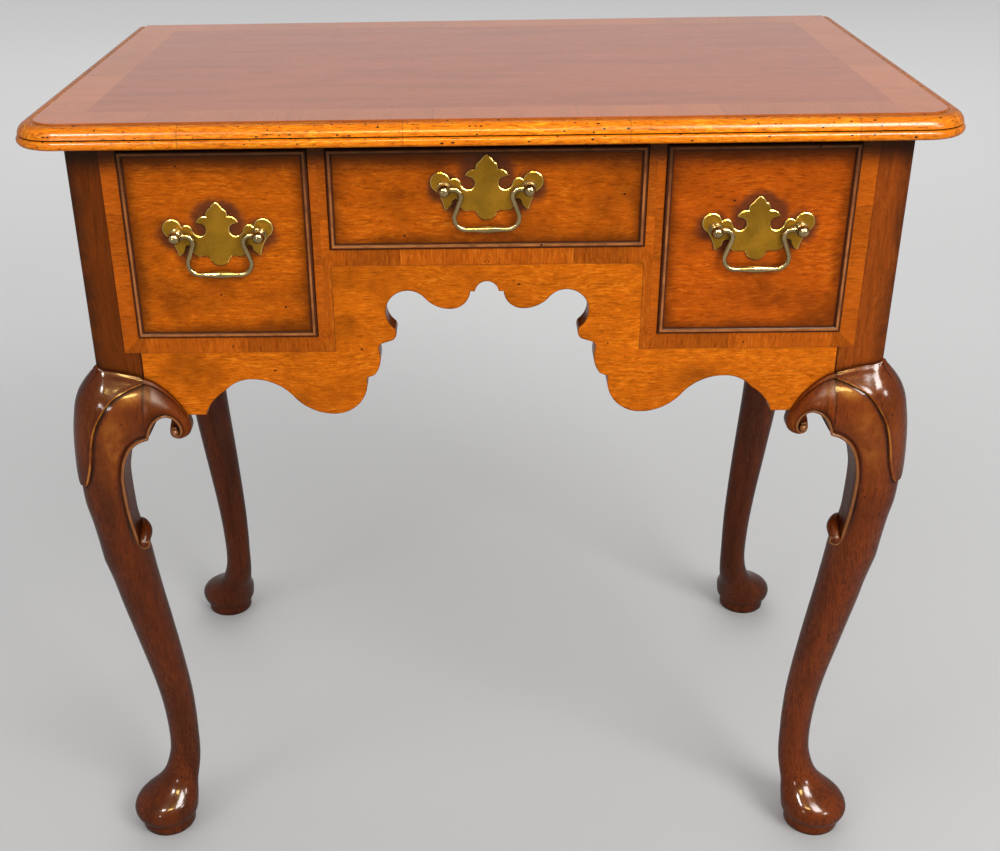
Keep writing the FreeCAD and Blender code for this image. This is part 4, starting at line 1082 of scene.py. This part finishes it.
EAR_INNER = [(-20, 444.8), (-22.5, 453.8), (-27, 460), (-33.5, 463.3), (-38.5, 462.6), (-44, 458),
             (-47.3, 450.5), (-46.8, 444.4), (-43.2, 441.2), (-39.7, 442.8), (-38.8, 446.6), (-40.6, 449.2),
             (-43, 448.8)]
EAR_OUTER = [(-20, 494.4), (-27, 491.4), (-36, 484.4), (-43.5, 476.2), (-49.8, 466.7), (-54.3, 457.6),
             (-56, 449.5), (-53.4, 442.4), (-46.8, 438.4), (-40.6, 439.4), (-37.2, 444.4), (-37.4, 448.8),
             (-39.6, 452)]
EAR_BULGE = [23.7, 22.2, 19, 15.2, 11.6, 8.8, 7.2, 6.2, 5.6, 5.2, 5, 4.8, 4.6]
EAR_GROUND = [(-55.4, 450.5), (-53, 443), (-46.8, 439), (-41, 440), (-37.9, 444.6), (-38, 451),
              (-40, 458), (-46, 461.5), (-53, 458.5)]
EAR_BACK, GROUND_FRONT = 13, 22.6
EAR_ROOT_BACK = 19.2              # the back of a bracket where it lies on the apron
EYE_PLACE = (-42.2, 27.6, 446.4)
EAR_STEPS = (0, 0.02, 0.05, 0.09, 0.14, 0.2, 0.27, 0.34, 0.42, 0.5, 0.58, 0.66, 0.73, 0.79, 0.84,
             0.88, 0.91, 0.94, 0.965, 0.985, 1)
APRON_EDGE = 459.5


EAR_PARTS = 5                     # ribs between two rows of the tables above


def evenly(line):
    """A smooth line with as many parts between any two of its points."""
    result = []
    for i in range(len(line) - 1):
        part = flowing(line[max(0, i - 1):i + 3], 0.02)
        start, stop = (next(k for k, point in enumerate(part) if (point - Vector(mark)).length < 1e-6)
                       for mark in line[i:i + 2])
        result += [part[start + (stop - start) * k // EAR_PARTS] for k in range(EAR_PARTS)]
    return result + [Vector(line[-1])]


def ear_ribs(knee):
    """Ribs of a bracket from its seam round its volute, outer edge first."""
    top, foot, face = EAR_OUTER[0][1], EAR_INNER[0][1], POST_HALF + knee.ledge
    root = [knee.point(SEAM, top + (foot - top) * s).y for s in EAR_STEPS]
    table = list(enumerate(EAR_BULGE))
    ribs = []
    for k, (high, low) in enumerate(zip(evenly(EAR_OUTER), evenly(EAR_INNER))):
        bulge = between(table, k / EAR_PARTS)
        share = bulge / EAR_BULGE[0]
        rounder = eased(k / EAR_PARTS, 2, 9) * 0.8
        rib = []
        for s, start in zip(EAR_STEPS, root):
            spot = high.lerp(low, s)
            full = face + bulge * math.sin(math.pi / 2 * s**0.7)
            full -= knee.fall * min(1, share * 2) * eased(s, 0.55, 1) * 0.8
            like_root = face + (start - face) * share
            rib.append(Vector((spot.x, like_root + (full - like_root) * rounder, spot.y)))
        ribs.append(rib)
    return ribs


def bracket_row(rib):
    """A rib of a bracket with two points behind each of its ends."""
    first, last = rib[0], rib[-1]
    backs = [EAR_ROOT_BACK if point.z > APRON_EDGE else EAR_BACK for point in (first, last)]
    return [Vector((first.x, backs[0], first.z)), first + Vector((0, -0.5, 0.3)), *rib,
            last + Vector((0, -1, 0)), Vector((last.x, backs[1], last.z))]


def bracket_piece(name, corners, knee, material, node):
    """Brackets, each the carved ear that carries a knee's sweep on along the apron."""
    mesh, layer = carved_mesh()
    rows = [bracket_row(rib) for rib in ear_ribs(knee)]
    for carry, swap in corners:
        made = grid_faces(mesh, [[carry(point, swap) for point in row] for row in rows])
        for k, row in enumerate(made):
            # lighter along the outer edge and over the face, painted shade in the fall by the bead, and a
            # dark joint at the seam
            for vertex, share in zip(row[2:-2], EAR_STEPS):
                tone_marks = 0.3 * (1 - eased(share, 0, 0.04)) \
                    + 0.16 * eased(share, 0.05, 0.3) * eased(0.8 - share, 0, 0.4)
                vertex[layer] = tone_marks - 0.75 * eased(share, 0.78, 0.95) - 0.6 * (k == 0)
        for lower, upper in zip(made, made[1:]):
            mesh.faces.new((lower[-1], lower[0], upper[0], upper[-1]))
        capped(mesh, made)
        capped(mesh, grid_faces(mesh, [[carry(Vector((a, depth, z)), swap) for a, z in EAR_GROUND]
                                       for depth in (EAR_BACK, GROUND_FRONT)], closed=True))
    return new_piece(name, mesh, "case", [material], [node], smooth=50)


CURL_LINE = [(-6.2, 33.4, 343), (-8.4, 33.6, 340.6), (-8.3, 33.9, 337.4), (-5.8, 34.1, 335.3),
             (-2.8, 34.1, 334.9), (-0.4, 34, 337), (1, 34.4, 341)]
CURL_EYE, CURL_EYE_RADIUS, CURL_TOP = (-5.9, 34.4, 341.2), 1.9, 344
LEAF_ROLL = [((-3.6, 33.2, 340.2), 4.6), ((-3.9, 28, 343.2), 5.6), ((-3.8, 22, 346.4), 5.9),
             ((-1.6, 16, 348.6), 5), ((1.4, 11, 350), 3.4), ((5, 7, 350.5), 1.2)]


def bead_piece(name, corners, knee, carving, material):
    """The bead that follows the inner edge from the lower curl to the eye of the volute."""
    mesh = bmesh.new()
    radius = carving.bead / MM
    edge = [rib[FRONT_COUNT + 1] for rib in leg_ribs(knee)]
    leg_line = flowing(CURL_LINE + [(point + Vector((0.1, 0.1, 0)))[:] for point in edge
                                    if point.z > CURL_TOP], 1.2)
    ear_line = [rib[-1] + Vector((0, 0.2, 0)) for rib in ear_ribs(knee)]
    leg_sizes = [0.75 + 0.25 * eased(i / len(leg_line), 0, 0.25) for i in range(len(leg_line))]
    ear_sizes = [0.6 + 0.4 * eased(1 - i / len(ear_line), 0, 0.35) for i in range(len(ear_line))]
    for carry, swap in corners:
        for line, sizes in ((leg_line, leg_sizes), (ear_line, ear_sizes)):
            swept(mesh, [carry(point, swap) for point in line], [radius * size for size in sizes], 10)
        for centre, size in ((EYE_PLACE, carving.eye / MM), (CURL_EYE, CURL_EYE_RADIUS)):
            turned(mesh, ball_profile(0, size), carry(Vector(centre), swap), Vector((0, 0, 1)), 20)
    return new_piece(name, mesh, "case", [material])


def leaf_piece(name, corners, material):
    """The small rolled leaf behind the foot of each bead."""
    mesh = bmesh.new()
    line = flowing([point for point, radius in LEAF_ROLL], 0.8)
    table = [(-point[1], radius) for point, radius in LEAF_ROLL]
    radii = [between(table, -point.y) for point in line]
    for carry, swap in corners:
        swept(mesh, [carry(point, swap) for point in line], radii, 28)
    return new_piece(name, mesh, "case", [material])


# ---------------------------------------------------------------- the apron

BAND = 13.2                       # width of the crossbanding round the openings
# Right half of the apron's lower edge, its heights above the lowest line
APRON_EDGE_HALF = [
    (0, 118.1), arc((6.8, 115.3), (9.6, 109.5)), (13.6, 109.5), arc((18.7, 98.8), (30, 94.5)),
    arc((41.6, 97), (51.1, 104.3)), arc((77.9, 105.2), (76, 77.7)), arc((74.9, 73.2), (78.2, 67.3)),
    (85.6, 64.9), arc((88.9, 63), (90.2, 59.1)), arc((89.3, 47.4), (94.6, 35.9)), (101.4, 33.1),
    arc((109.5, 8.5), (130, 0)), arc((148.8, 4.3), (164, 16.4)), arc((179.2, 28.4), (198, 32.8)),
    arc((211.5, 30.2), (222, 22.5)), arc((234, 12), (240.5, 0)), (290, 0)]
APRON_VENEER_TOP = [(290, 71.1 - BAND), (126.3, 71.1 - BAND), (126.3, 145.9 - BAND), (0, 145.9 - BAND)]
APRON_CORE_TOP = [(290, 71), (139.7, 71), (139.7, 145.8), (0, 145.8)]
APRON_RIM = (1.1, 0.25)           # width and depth of the eased edge


def cut_sheet(mesh, outline, place_at, back, edge, drop):
    """A sheet sawn to an outline, its front edge eased; returns the vertices of its front."""
    face = mesh.faces.new([mesh.verts.new((place_at.x + x, place_at.y + drop, place_at.z + z))
                           for x, z in outline])
    mesh.normal_update()
    if face.normal.y > 0:
        face.normal_flip()
    bmesh.ops.inset_region(mesh, faces=[face], thickness=edge, use_boundary=True)
    for vertex in face.verts:
        vertex.co.y = place_at.y
    grown = bmesh.ops.extrude_edge_only(mesh, edges=[item for item in mesh.edges if item.is_boundary])
    for item in grown["geom"]:
        if isinstance(item, bmesh.types.BMVert):
            item.co.y = back
    bmesh.ops.edgeloop_fill(mesh, edges=[item for item in grown["geom"]
                                         if isinstance(item, bmesh.types.BMEdge) and item.is_boundary])
    return set(face.verts)


def apron_piece(node, top, material):
    """The apron's veneer or board, darker along its sawn edge with painted shade."""
    low, high = (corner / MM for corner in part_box(node))
    mesh, layer = carved_mesh()
    inner = cut_sheet(mesh, mirrored(traced(APRON_EDGE_HALF) + top), Vector((0, low.y, low.z)), high.y,
                      *APRON_RIM)
    # the sawn edge gets painted shade through the vertex marks
    for vertex in mesh.verts:
        vertex[layer] = 0 if vertex in inner else -0.85
    return new_piece(node + "_shaped", mesh, "case", [material], [node], smooth=30)


# ---------------------------------------------------------------- the brasses

PLATE_HALF = [
    (0, 26.5), arc((2.9, 24.2), (5.1, 21.2)), arc((8, 18.4), (8.4, 14.8)), (10.2, 14.8),
    arc((14.2, 13.4), (16.8, 9.7)), (14.6, 8.9), arc((9.2, 3.7), (14.9, -1.6)),
    arc((18.7, 0.3), (20.6, 3.8)), arc((24.5, 7.7), (28.8, 6)), arc((40.4, 11.5), (40, -2.2)),
    arc((35.7, -9.3), (33.2, -17.6)), arc((29.6, -15.8), (27.2, -12.6)),
    arc((24.3, -8.9), (21.2, -12.9)), arc((19.6, -17.2), (15.4, -18.5)), (9.8, -18.2), (8, -19.6),
    arc((5.2, -24.4), (0, -26))]
BORING_HALF = 33.5
PLATE_BACK, PLATE_FRONT, BAIL_AXIS = -197.7, -199.3, -202.9
BAIL_BENDS = [((34, 0), 0), ((17.4, 0), 6), ((30, -32.6), 9.5), ((-30, -32.6), 9.5), ((-17.4, 0), 6),
              ((-34, 0), 0)]
GRIP_HALF, GRIP_LEVELS = 14, (24, 32)          # where the grip swells, out and down
PIN, PIN_WAIST = (28.4, 29.6), 0.5              # where the bail thins to its pins, and by how much
COLLAR_PLACE, COLLAR_PROFILE = 26.6, [(0, 1.6), (0.2, 2.5), (1.1, 2.7), (2, 2.5), (2.2, 1.6)]
FILED_DEPTH = 0.35
SHANK_PROFILE = [(0, 2), (22, 2)]
POST_PROFILE = [(0, 5.2), (0.5, 5.5), (1, 5.3), (1.2, 4.6), (2, 4.5), (4.4, 4.4), (5, 3.8), (5.3, 3.4)]
BALL_CENTRE, BALL_RADIUS = 9.2, 5


def rounded_line(bends):
    """Points along straight runs whose corners are rounded by their radii."""
    points = [Vector(bends[0][0])]
    for (before, _), (corner, radius), (after, _) in zip(bends, bends[1:], bends[2:]):
        corner, into = Vector(corner), (Vector(before) - Vector(corner)).normalized()
        out = (Vector(after) - corner).normalized()
        half = into.angle(out) / 2
        reach = radius / math.tan(half)
        centre = corner + (into + out).normalized() * radius / math.sin(half)
        first, last = corner + into * reach - centre, corner + out * reach - centre
        start = math.atan2(first.y, first.x)
        sweep = (math.atan2(last.y, last.x) - start + math.pi) % math.tau - math.pi
        count = max(3, round(abs(sweep) * radius / ARC_STEP))
        points += [centre + Vector((math.cos(start + sweep * k / count),
                                    math.sin(start + sweep * k / count))) * radius
                   for k in range(count + 1)]
    return points + [Vector(bends[-1][0])]


def backplate_piece(side, middle, brass):
    """A shaped batwing plate with a filed edge."""
    mesh = bmesh.new()
    inner = cut_sheet(mesh, mirrored(traced(PLATE_HALF, 0.7)), Vector((middle.x, PLATE_FRONT, middle.z)),
                      PLATE_BACK, settings("brass").bevel / MM, FILED_DEPTH)
    for face in mesh.faces:
        face.material_index = 0 if set(face.verts) <= inner else 1
    node = f"drawer_{side}_backplate"
    return new_piece(node + "_filed", mesh, "drawer_" + side, brass, [node], smooth=20)


def posts_piece(side, middle, brass):
    """The two cast posts of a handle, each a boss, a ball and a shank through the drawer's front."""
    mesh = bmesh.new()
    profile = POST_PROFILE + ball_profile(BALL_CENTRE, BALL_RADIUS, 3, 0.05)
    for x in (-BORING_HALF, BORING_HALF):
        foot = Vector((middle.x + x, PLATE_FRONT, middle.z))
        turned(mesh, profile, foot, Vector((0, -1, 0)), 36)
        turned(mesh, SHANK_PROFILE, foot, Vector((0, 1, 0)), 12)
    node = f"drawer_{side}_handle_posts"
    return new_piece(node + "_turned", mesh, "drawer_" + side, [brass], [node], smooth=35)


def bail_piece(side, middle, brass):
    """The swinging bail, swelling in the middle of its grip."""
    sizes = settings("brass")
    rod, grip = sizes.rod / MM, sizes.grip / MM
    flat = shared_out(rounded_line(BAIL_BENDS), 120)
    radii = []
    for point in flat:
        swell = (1 - eased(abs(point.x), 1, GRIP_HALF)) * eased(-point.y, *GRIP_LEVELS)
        pin = eased(abs(point.x), *PIN) if point.y > -1 else 0
        radii.append(rod + (grip - rod) * swell - PIN_WAIST * pin)
    mesh = bmesh.new()
    swept(mesh, [Vector((middle.x + point.x, BAIL_AXIS, middle.z + point.y)) for point in flat], radii, 18)
    for sign in (-1, 1):
        turned(mesh, COLLAR_PROFILE, Vector((middle.x + sign * COLLAR_PLACE, BAIL_AXIS, middle.z)),
               Vector((sign, 0, 0)), 20)
    node = f"drawer_{side}_bail"
    return new_piece(node + "_swept", mesh, "bail_" + side, [brass], [node], smooth=50)


def handle_middle(side):
    """Where the line through a handle's posts crosses its middle."""
    low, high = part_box(f"drawer_{side}_handle_posts")
    return Vector(((low.x + high.x) / 2, 0, (low.z + high.z) / 2)) / MM


# ---------------------------------------------------------------- operators

OPENING_DIVIDE = 133              # between the centre opening and the side ones
TOP_VENEER = dict(POLISHED, dark=0.55, cloud=0.4, pores=0.12, grime=0, roughness=0.36, relief=0.02)
SMOOTH_WAX = dict(WAXED, Coat_Weight=0.24, Coat_Roughness=0.2)
BOARDS_ACROSS = ("top_core", "back_panel", "drawer_kickers", "top_glue_blocks", "drawer_stops")
BOARDS_BACKWARD = ("partition_left", "partition_right", "left_drawer_runners", "right_drawer_runners",
                   "centre_drawer_runners", "drawer_guides")


def opening_middle(side):
    """The middle of a drawer's front and half its size, in metres."""
    low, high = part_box(f"drawer_{side}_front")
    half = (high - low) / 2
    return (high + low) / 2, Vector((half.x, half.z, 0))


def shared(colour, share):
    """A share of a colour."""
    return [part * share for part in colour]


class LOWBOY_OT_timber(bpy.types.Operator):
    """Gives the case and the top their woods"""
    bl_idname = "lowboy.timber"
    bl_label = "Timber"

    def execute(self, context):
        colours = settings("timber")
        low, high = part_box("top_edge_moulding")
        rim = {"Half Width": high.x, "Half Depth": (high.y - low.y) / 2, "Middle": (high.y + low.y) / 2}
        wear_nodes(wood("top_field", colours.field, streak=0.4, band=0.5, fleck=0.12, specks=0.003,
                        **TOP_VENEER), "top_field_veneer")
        wear_nodes(wood("top_band", colours.top_band, run=dict(rim, Piece=0.11), fleck=0.16, specks=0.004,
                        joint=0.3, **TOP_VENEER), "top_crossbanding")
        wear_nodes(wood("edge_moulding", colours.moulding, run=dict(rim, Piece=0.17), dark=0.25, cloud=0.2,
                        fleck=0.7, grime=1, reach=6, clear=0.6, specks=0.32, roughness=0.25, relief=0.15,
                        joint=0.4, lengthwise=True, varnish_and_edge_shade=0.6, **SMOOTH_WAX), "top_edge_moulding")
        apron_piece("front_apron_veneer", APRON_VENEER_TOP,
                    wood("apron_veneer", colours.apron, cloud=0.8, streak=0.45, specks=0.01, reach=10,
                         vertex_marks=True))
        apron_piece("front_apron", APRON_CORE_TOP, wood("apron_core", colours.solid, fleck=0.2))
        (side, side_half), (centre, centre_half) = opening_middle("left"), opening_middle("centre")
        front = {"Divide": OPENING_DIVIDE * MM, "Side X": -side.x, "Side Half": side_half,
                 "Side Middle": (0, side.z, 0), "Centre Half": centre_half,
                 "Centre Middle": (0, centre.z, 0)}
        wear_nodes(wood("band_veneer", colours.band, run={"Piece": 0.043}, front=front, specks=0.01,
                        reach=10, joint=0.8, shadow_under_top=True), "front_crossbanding")
        for name, *nodes in (("rail_wood", "front_top_rail"),
                             ("divider_wood", "front_divider_left", "front_divider_right")):
            wear_nodes(wood(name, colours.band, reach=10, shadow_under_top=True), *nodes)
        wear_nodes(wood("panel_wood", colours.panel, "Y", fleck=0.4), "side_panel_left", "side_panel_right")
        wear_nodes(lining_wood("pine_boards", colours.pine, "X"), *BOARDS_ACROSS)
        wear_nodes(lining_wood("pine_runners", colours.pine, "Y"), *BOARDS_BACKWARD)
        return {"FINISHED"}


FRONT_TONES = ((1, 1, 1), (0.95, 0.93, 1), (0.93, 0.8, 1))     # of the drawers, from the left
FRONT_SHIFT = 0.37                # how far the grain is moved along from one drawer to the next


class LOWBOY_OT_drawers(bpy.types.Operator):
    """Gives the drawers their veneers, beads and oak linings"""
    bl_idname = "lowboy.drawers"
    bl_label = "Drawers"

    def execute(self, context):
        colours = settings("timber")
        lengthwise = lining_wood("oak_sides", colours.oak, "Y")
        crosswise = lining_wood("oak_boards", colours.oak, "X")
        for count, (side, tones) in enumerate(zip(SIDES, FRONT_TONES)):
            middle, half = opening_middle(side)
            shade = {"Centre X": middle.x, "Centre Z": middle.z, "Half Width": half.x,
                     "Half Height": half.y, "Handle Z": handle_middle(side).z * MM}
            tone = [part * share for part, share in zip(colours.drawer, tones)]
            front = wood("drawer_veneer_" + side, tone, cloud=0.85, streak=0.45, reach=9, clear=0.9,
                         shift=FRONT_SHIFT * count, shade=shade, shadow_under_top=True, specks=0.004)
            bead = wood("cockbead_wood_" + side, colours.cockbead, dark=0.4, grime=0.8, reach=5,
                        clear=0.75, rub_and_highlight=colours.bead_rub_and_highlight, rub_and_highlight_amount=0.9, fleck=0.4, shade=shade,
                        ridge=True, shadow_under_top=True, Coat_Weight=0.1)
            for material, *parts in ((front, "front"), (bead, "cockbeading"), (crosswise, "back", "bottom"),
                                     (lengthwise, "side_left", "side_right")):
                wear_nodes(material, *(f"drawer_{side}_{part}" for part in parts))
        return {"FINISHED"}


# share of the colour, partly wood and partly painted light: lighter on the right, darker on the left and at
# the rear; and roughness of the coat
LEG_TONE_LIGHT_AND_COAT = {"left": (1, 0.12), "right": (1.35, 0.12), "rear": (0.75, 0.12), "ear_left": (1.1, 0.3),
                "ear_right": (1.4, 0.3)}
LEG_GLOSS = 0.033                 # weight of the coat times its roughness
# shares of the posts' colour, partly wood and partly painted light: the left darker, the right lighter
POST_TONE_AND_LIGHT = {"left": 0.8, "right": 1.5}


class LOWBOY_OT_legs(bpy.types.Operator):
    """Carves the four legs, their brackets and their beads"""
    bl_idname = "lowboy.legs"
    bl_label = "Legs"

    def execute(self, context):
        colours, carving = settings("timber"), settings("carving")
        carved, plain = Knee(carving), Knee(carving, carved=False)
        closed = Knee(carving, carved=False, ends_in_ear=False)
        finishes = {}
        for part, (share, rough) in LEG_TONE_LIGHT_AND_COAT.items():
            finishes[part] = wood(
                "leg_wood_" + part, shared(colours.solid, share), "Z", dark=0.35, streak=0.8, cloud=0.7,
                fleck=0.5, pores=0.8, band=0.8, grime=0.9, reach=6, clear=0.75, rub_and_highlight=colours.leg_rub_and_highlight,
                rub_and_highlight_amount=0.9, roughness=0.3, specks=0.015, vertex_marks=True, varnish_and_edge_shade=0.5,
                **dict(WAXED, Coat_Roughness=rough, Coat_Weight=LEG_GLOSS / rough))
        bead_wood = wood("bead_wood", shared(colours.bead_rub_and_highlight, 0.62), "Z", grime=0.8, reach=3,
                         clear=0.6, fleck=0.3, varnish_and_edge_shade=0.5, **WAXED)
        for side, share in POST_TONE_AND_LIGHT.items():
            post_wood = wood("post_wood_" + side, shared(colours.post, share), "Z", dark=0.4, streak=0.6,
                             fleck=0.35, rub_and_highlight=colours.leg_rub_and_highlight, vertex_marks=True, shadow_under_top=True, specks=0.006,
                             varnish_and_edge_shade=0.3)
            leg_piece(side, "front", (carved, carved), (finishes[side], post_wood))
            leg_piece(side, "rear", (closed, plain), (finishes["rear"], post_wood))
            corners = [(corner_map(side, "front"), swap) for swap in (False, True)]
            bracket_piece(f"bracket_front_{side}_carved", corners, carved, finishes["ear_" + side],
                          f"knee_brackets_front_{side}")
            bead_piece(f"leg_front_{side}_bead", corners, carved, carving, bead_wood)
            leaf_piece(f"leg_front_{side}_leaf", corners, finishes[side])
        rear = [(corner_map(side, "rear"), True) for side in POST_TONE_AND_LIGHT]
        bracket_piece("bracket_rear_carved", rear, plain, finishes["rear"], "knee_brackets_rear")
        return {"FINISHED"}


class LOWBOY_OT_handles(bpy.types.Operator):
    """Makes the three brass handles"""
    bl_idname = "lowboy.handles"
    bl_label = "Handles"

    def execute(self, context):
        colours = settings("brass")
        plate = brass_finish("plate_brass", colours.plate, roughness=0.36, metal=0.85)
        filed = brass_finish("filed_brass", colours.filed, roughness=0.25)
        bail = brass_finish("bail_brass", colours.bail, roughness=0.2)
        for side in SIDES:
            middle = handle_middle(side)
            backplate_piece(side, middle, [plate, filed])
            posts_piece(side, middle, bail)
            bail_piece(side, middle, bail)
            wear_nodes(bail, f"drawer_{side}_handle_nuts")
        return {"FINISHED"}


class LOWBOY_OT_stage(bpy.types.Operator):
    """Lays the floor, sets the lights and aims the camera"""
    bl_idname = "lowboy.stage"
    bl_label = "Stage"

    def execute(self, context):
        stage = settings("stage")
        floor_piece(stage)
        sky(stage)
        for row in LAMPS:
            lamp(*row)
        camera(stage)
        context.scene.view_settings.view_transform = "Standard"
        return {"FINISHED"}


# ---------------------------------------------------------------- the stage

FLOOR_RADIUS = 16
SENSOR = 36
SKY_STRENGTH, SKY_SHOWN = 0.7, 0.97
CAMERA_PLACE = (-0.0102, -1.21936, 0.95017)
CAMERA_SHIFT = (0.0554, 0.0346)
# The large lamps model the form, and the small ones are only seen as highlights in the polish.
LAMPS = [                         # name, place, aim, size, power, colour, highlight only
    ("key_right", (1.5, -1.75, 1.9), (0.1, -0.1, 0.45), (1.3, 1.3), 42, (1, 0.99, 0.97), False),
    ("fill_left", (-2.3, -2.0, 2.2), (0, -0.1, 0.45), (1.4, 1.4), 16, (1, 0.985, 0.96), False),
    ("back_top", (0.2, 3.0, 2.8), (0, 0, 0.7), (4.0, 1.8), 46, (1, 0.99, 0.97), False),
    ("glint_right", (1.11, -1.72, 2.47), (0.3, -0.2, 0.48), (1.0, 0.9), 190, (1, 1, 1), True),
    ("glint_left", (-1.07, -1.72, 2.46), (-0.3, -0.2, 0.48), (0.34, 0.34), 60, (1, 1, 1), True),
    ("glint_warm", (-0.12, -1.96, 2.38), (0, -0.2, 0.48), (0.62, 0.32), 60, (1, 0.74, 0.26), True),
    ("glint_corner_left", (-1.22, -2.6, 1.25), (-0.32, -0.23, 0.7), (0.24, 0.24), 13, (1, 1, 1), True),
    ("glint_corner_right", (2.0, -1.95, 1.75), (0.33, -0.23, 0.7), (0.5, 0.4), 36, (1, 1, 1), True),
]
FLOOR_TONES = ((0.4, 0.84), (1.6, 0.97), (5, 1.28))       # distance from the middle, tone


def floor_piece(stage):
    """A wide pale floor."""
    mesh = bmesh.new()
    bmesh.ops.create_circle(mesh, cap_ends=True, segments=96, radius=FLOOR_RADIUS)
    data = bpy.data.meshes.new("floor")
    mesh.to_mesh(data)
    mesh.free()
    floor = bpy.data.objects.new("floor", data)
    bpy.context.collection.objects.link(floor)
    material, tree, shading = surface("floor_paint", Roughness=0.75, Specular_IOR_Level=0.15)
    vector = own_place(tree)
    away = vectors("LENGTH", vector, output="Value")
    (near, first), (middle, second), (far, third) = FLOOR_TONES
    tone = plus(ranged(away, near, middle, first, second), ranged(away, middle, far, 0, third - second))
    cloudy = ranged(noise(vector, 0.5, 1), 0.3, 0.7, 0.985, 1.015)
    paint = stretched(times(tone, cloudy), stage.floor)
    tree.links.new(paint, shading.inputs["Base Color"])
    data.materials.append(material)


def sky(stage):
    """Even light from all round, and the backdrop that the eye sees."""
    world = bpy.data.worlds.new("studio")
    bpy.context.scene.world = world
    world.use_nodes = True
    tree = world.node_tree
    tree.nodes.clear()
    seen = place(tree, "ShaderNodeLightPath").outputs
    eye = plus(seen["Is Camera Ray"], seen["Is Transmission Ray"])
    eye = maths("MINIMUM", plus(eye, seen["Is Glossy Ray"]), 1)
    light, shown = (place(tree, "ShaderNodeBackground", {"Color": colour, "Strength": strength}).outputs[0]
                    for colour, strength in ((rgba((1, 1, 1)), SKY_STRENGTH),
                                             (rgba(stage.floor), SKY_SHOWN)))
    mix = place(tree, "ShaderNodeMixShader", {0: eye, 1: light, 2: shown})
    place(tree, "ShaderNodeOutputWorld", {0: mix.outputs[0]})


def lamp(name, place_at, aim, size, power, colour, highlight):
    """A rectangular lamp that the camera doesn't see."""
    data = bpy.data.lights.new(name, "AREA")
    data.shape, data.size, data.size_y = "RECTANGLE", *size
    data.energy, data.color = power, colour
    light = bpy.data.objects.new(name, data)
    bpy.context.collection.objects.link(light)
    light.location = place_at
    light.rotation_euler = (Vector(aim) - Vector(place_at)).to_track_quat("-Z", "Y").to_euler()
    light.visible_camera = False
    light.visible_diffuse, light.visible_glossy = not highlight, highlight


def camera(stage):
    """The camera at eye height in front of the lowboy."""
    data = bpy.data.cameras.new("camera")
    data.lens, data.sensor_width = stage.lens, SENSOR
    data.shift_x, data.shift_y = CAMERA_SHIFT
    eye = bpy.data.objects.new("camera", data)
    bpy.context.collection.objects.link(eye)
    turn = Matrix.Rotation(stage.yaw, 3, "Z") @ Matrix.Rotation(-stage.pitch, 3, "X") \
        @ Matrix.Rotation(stage.roll, 3, "Y")
    right, ahead, up = (turn.col[k] for k in range(3))
    eye.matrix_world = Matrix.Translation(CAMERA_PLACE) @ Matrix((right, up, -ahead)).transposed().to_4x4()
    bpy.context.scene.camera = eye


class LOWBOY_PT_panel(bpy.types.Panel):
    """Lists the lowboy's sizes, colours and steps"""
    bl_idname = "LOWBOY_PT_panel"
    bl_label = "Lowboy"
    bl_space_type = "VIEW_3D"
    bl_region_type = "UI"
    bl_category = "Lowboy"

    def draw(self, context):
        for name in GROUPS:
            box = self.layout.box()
            chosen = settings(name)
            for key in chosen.__annotations__:
                box.prop(chosen, key)
        for step in STEPS:
            self.layout.operator(step.bl_idname)


GROUPS = {"timber": LowboyTimber, "carving": LowboyCarving, "brass": LowboyBrass, "stage": LowboyStage}
STEPS = (LOWBOY_OT_stage, LOWBOY_OT_timber, LOWBOY_OT_drawers, LOWBOY_OT_legs, LOWBOY_OT_handles)


def register():
    for kind in (*GROUPS.values(), *STEPS, LOWBOY_PT_panel):
        bpy.utils.register_class(kind)
    for name, kind in GROUPS.items():
        setattr(bpy.types.Scene, "lowboy_" + name, PointerProperty(type=kind))


def unregister():
    for name in GROUPS:
        delattr(bpy.types.Scene, "lowboy_" + name)
    for kind in (LOWBOY_PT_panel, *reversed(STEPS), *reversed(GROUPS.values())):
        bpy.utils.unregister_class(kind)


def main():
    register()
    bpy.ops.lowboy.stage()
    bpy.ops.lowboy.timber()
    bpy.ops.lowboy.drawers()
    bpy.ops.lowboy.legs()
    bpy.ops.lowboy.handles()


if __name__ == "__main__":
    main()
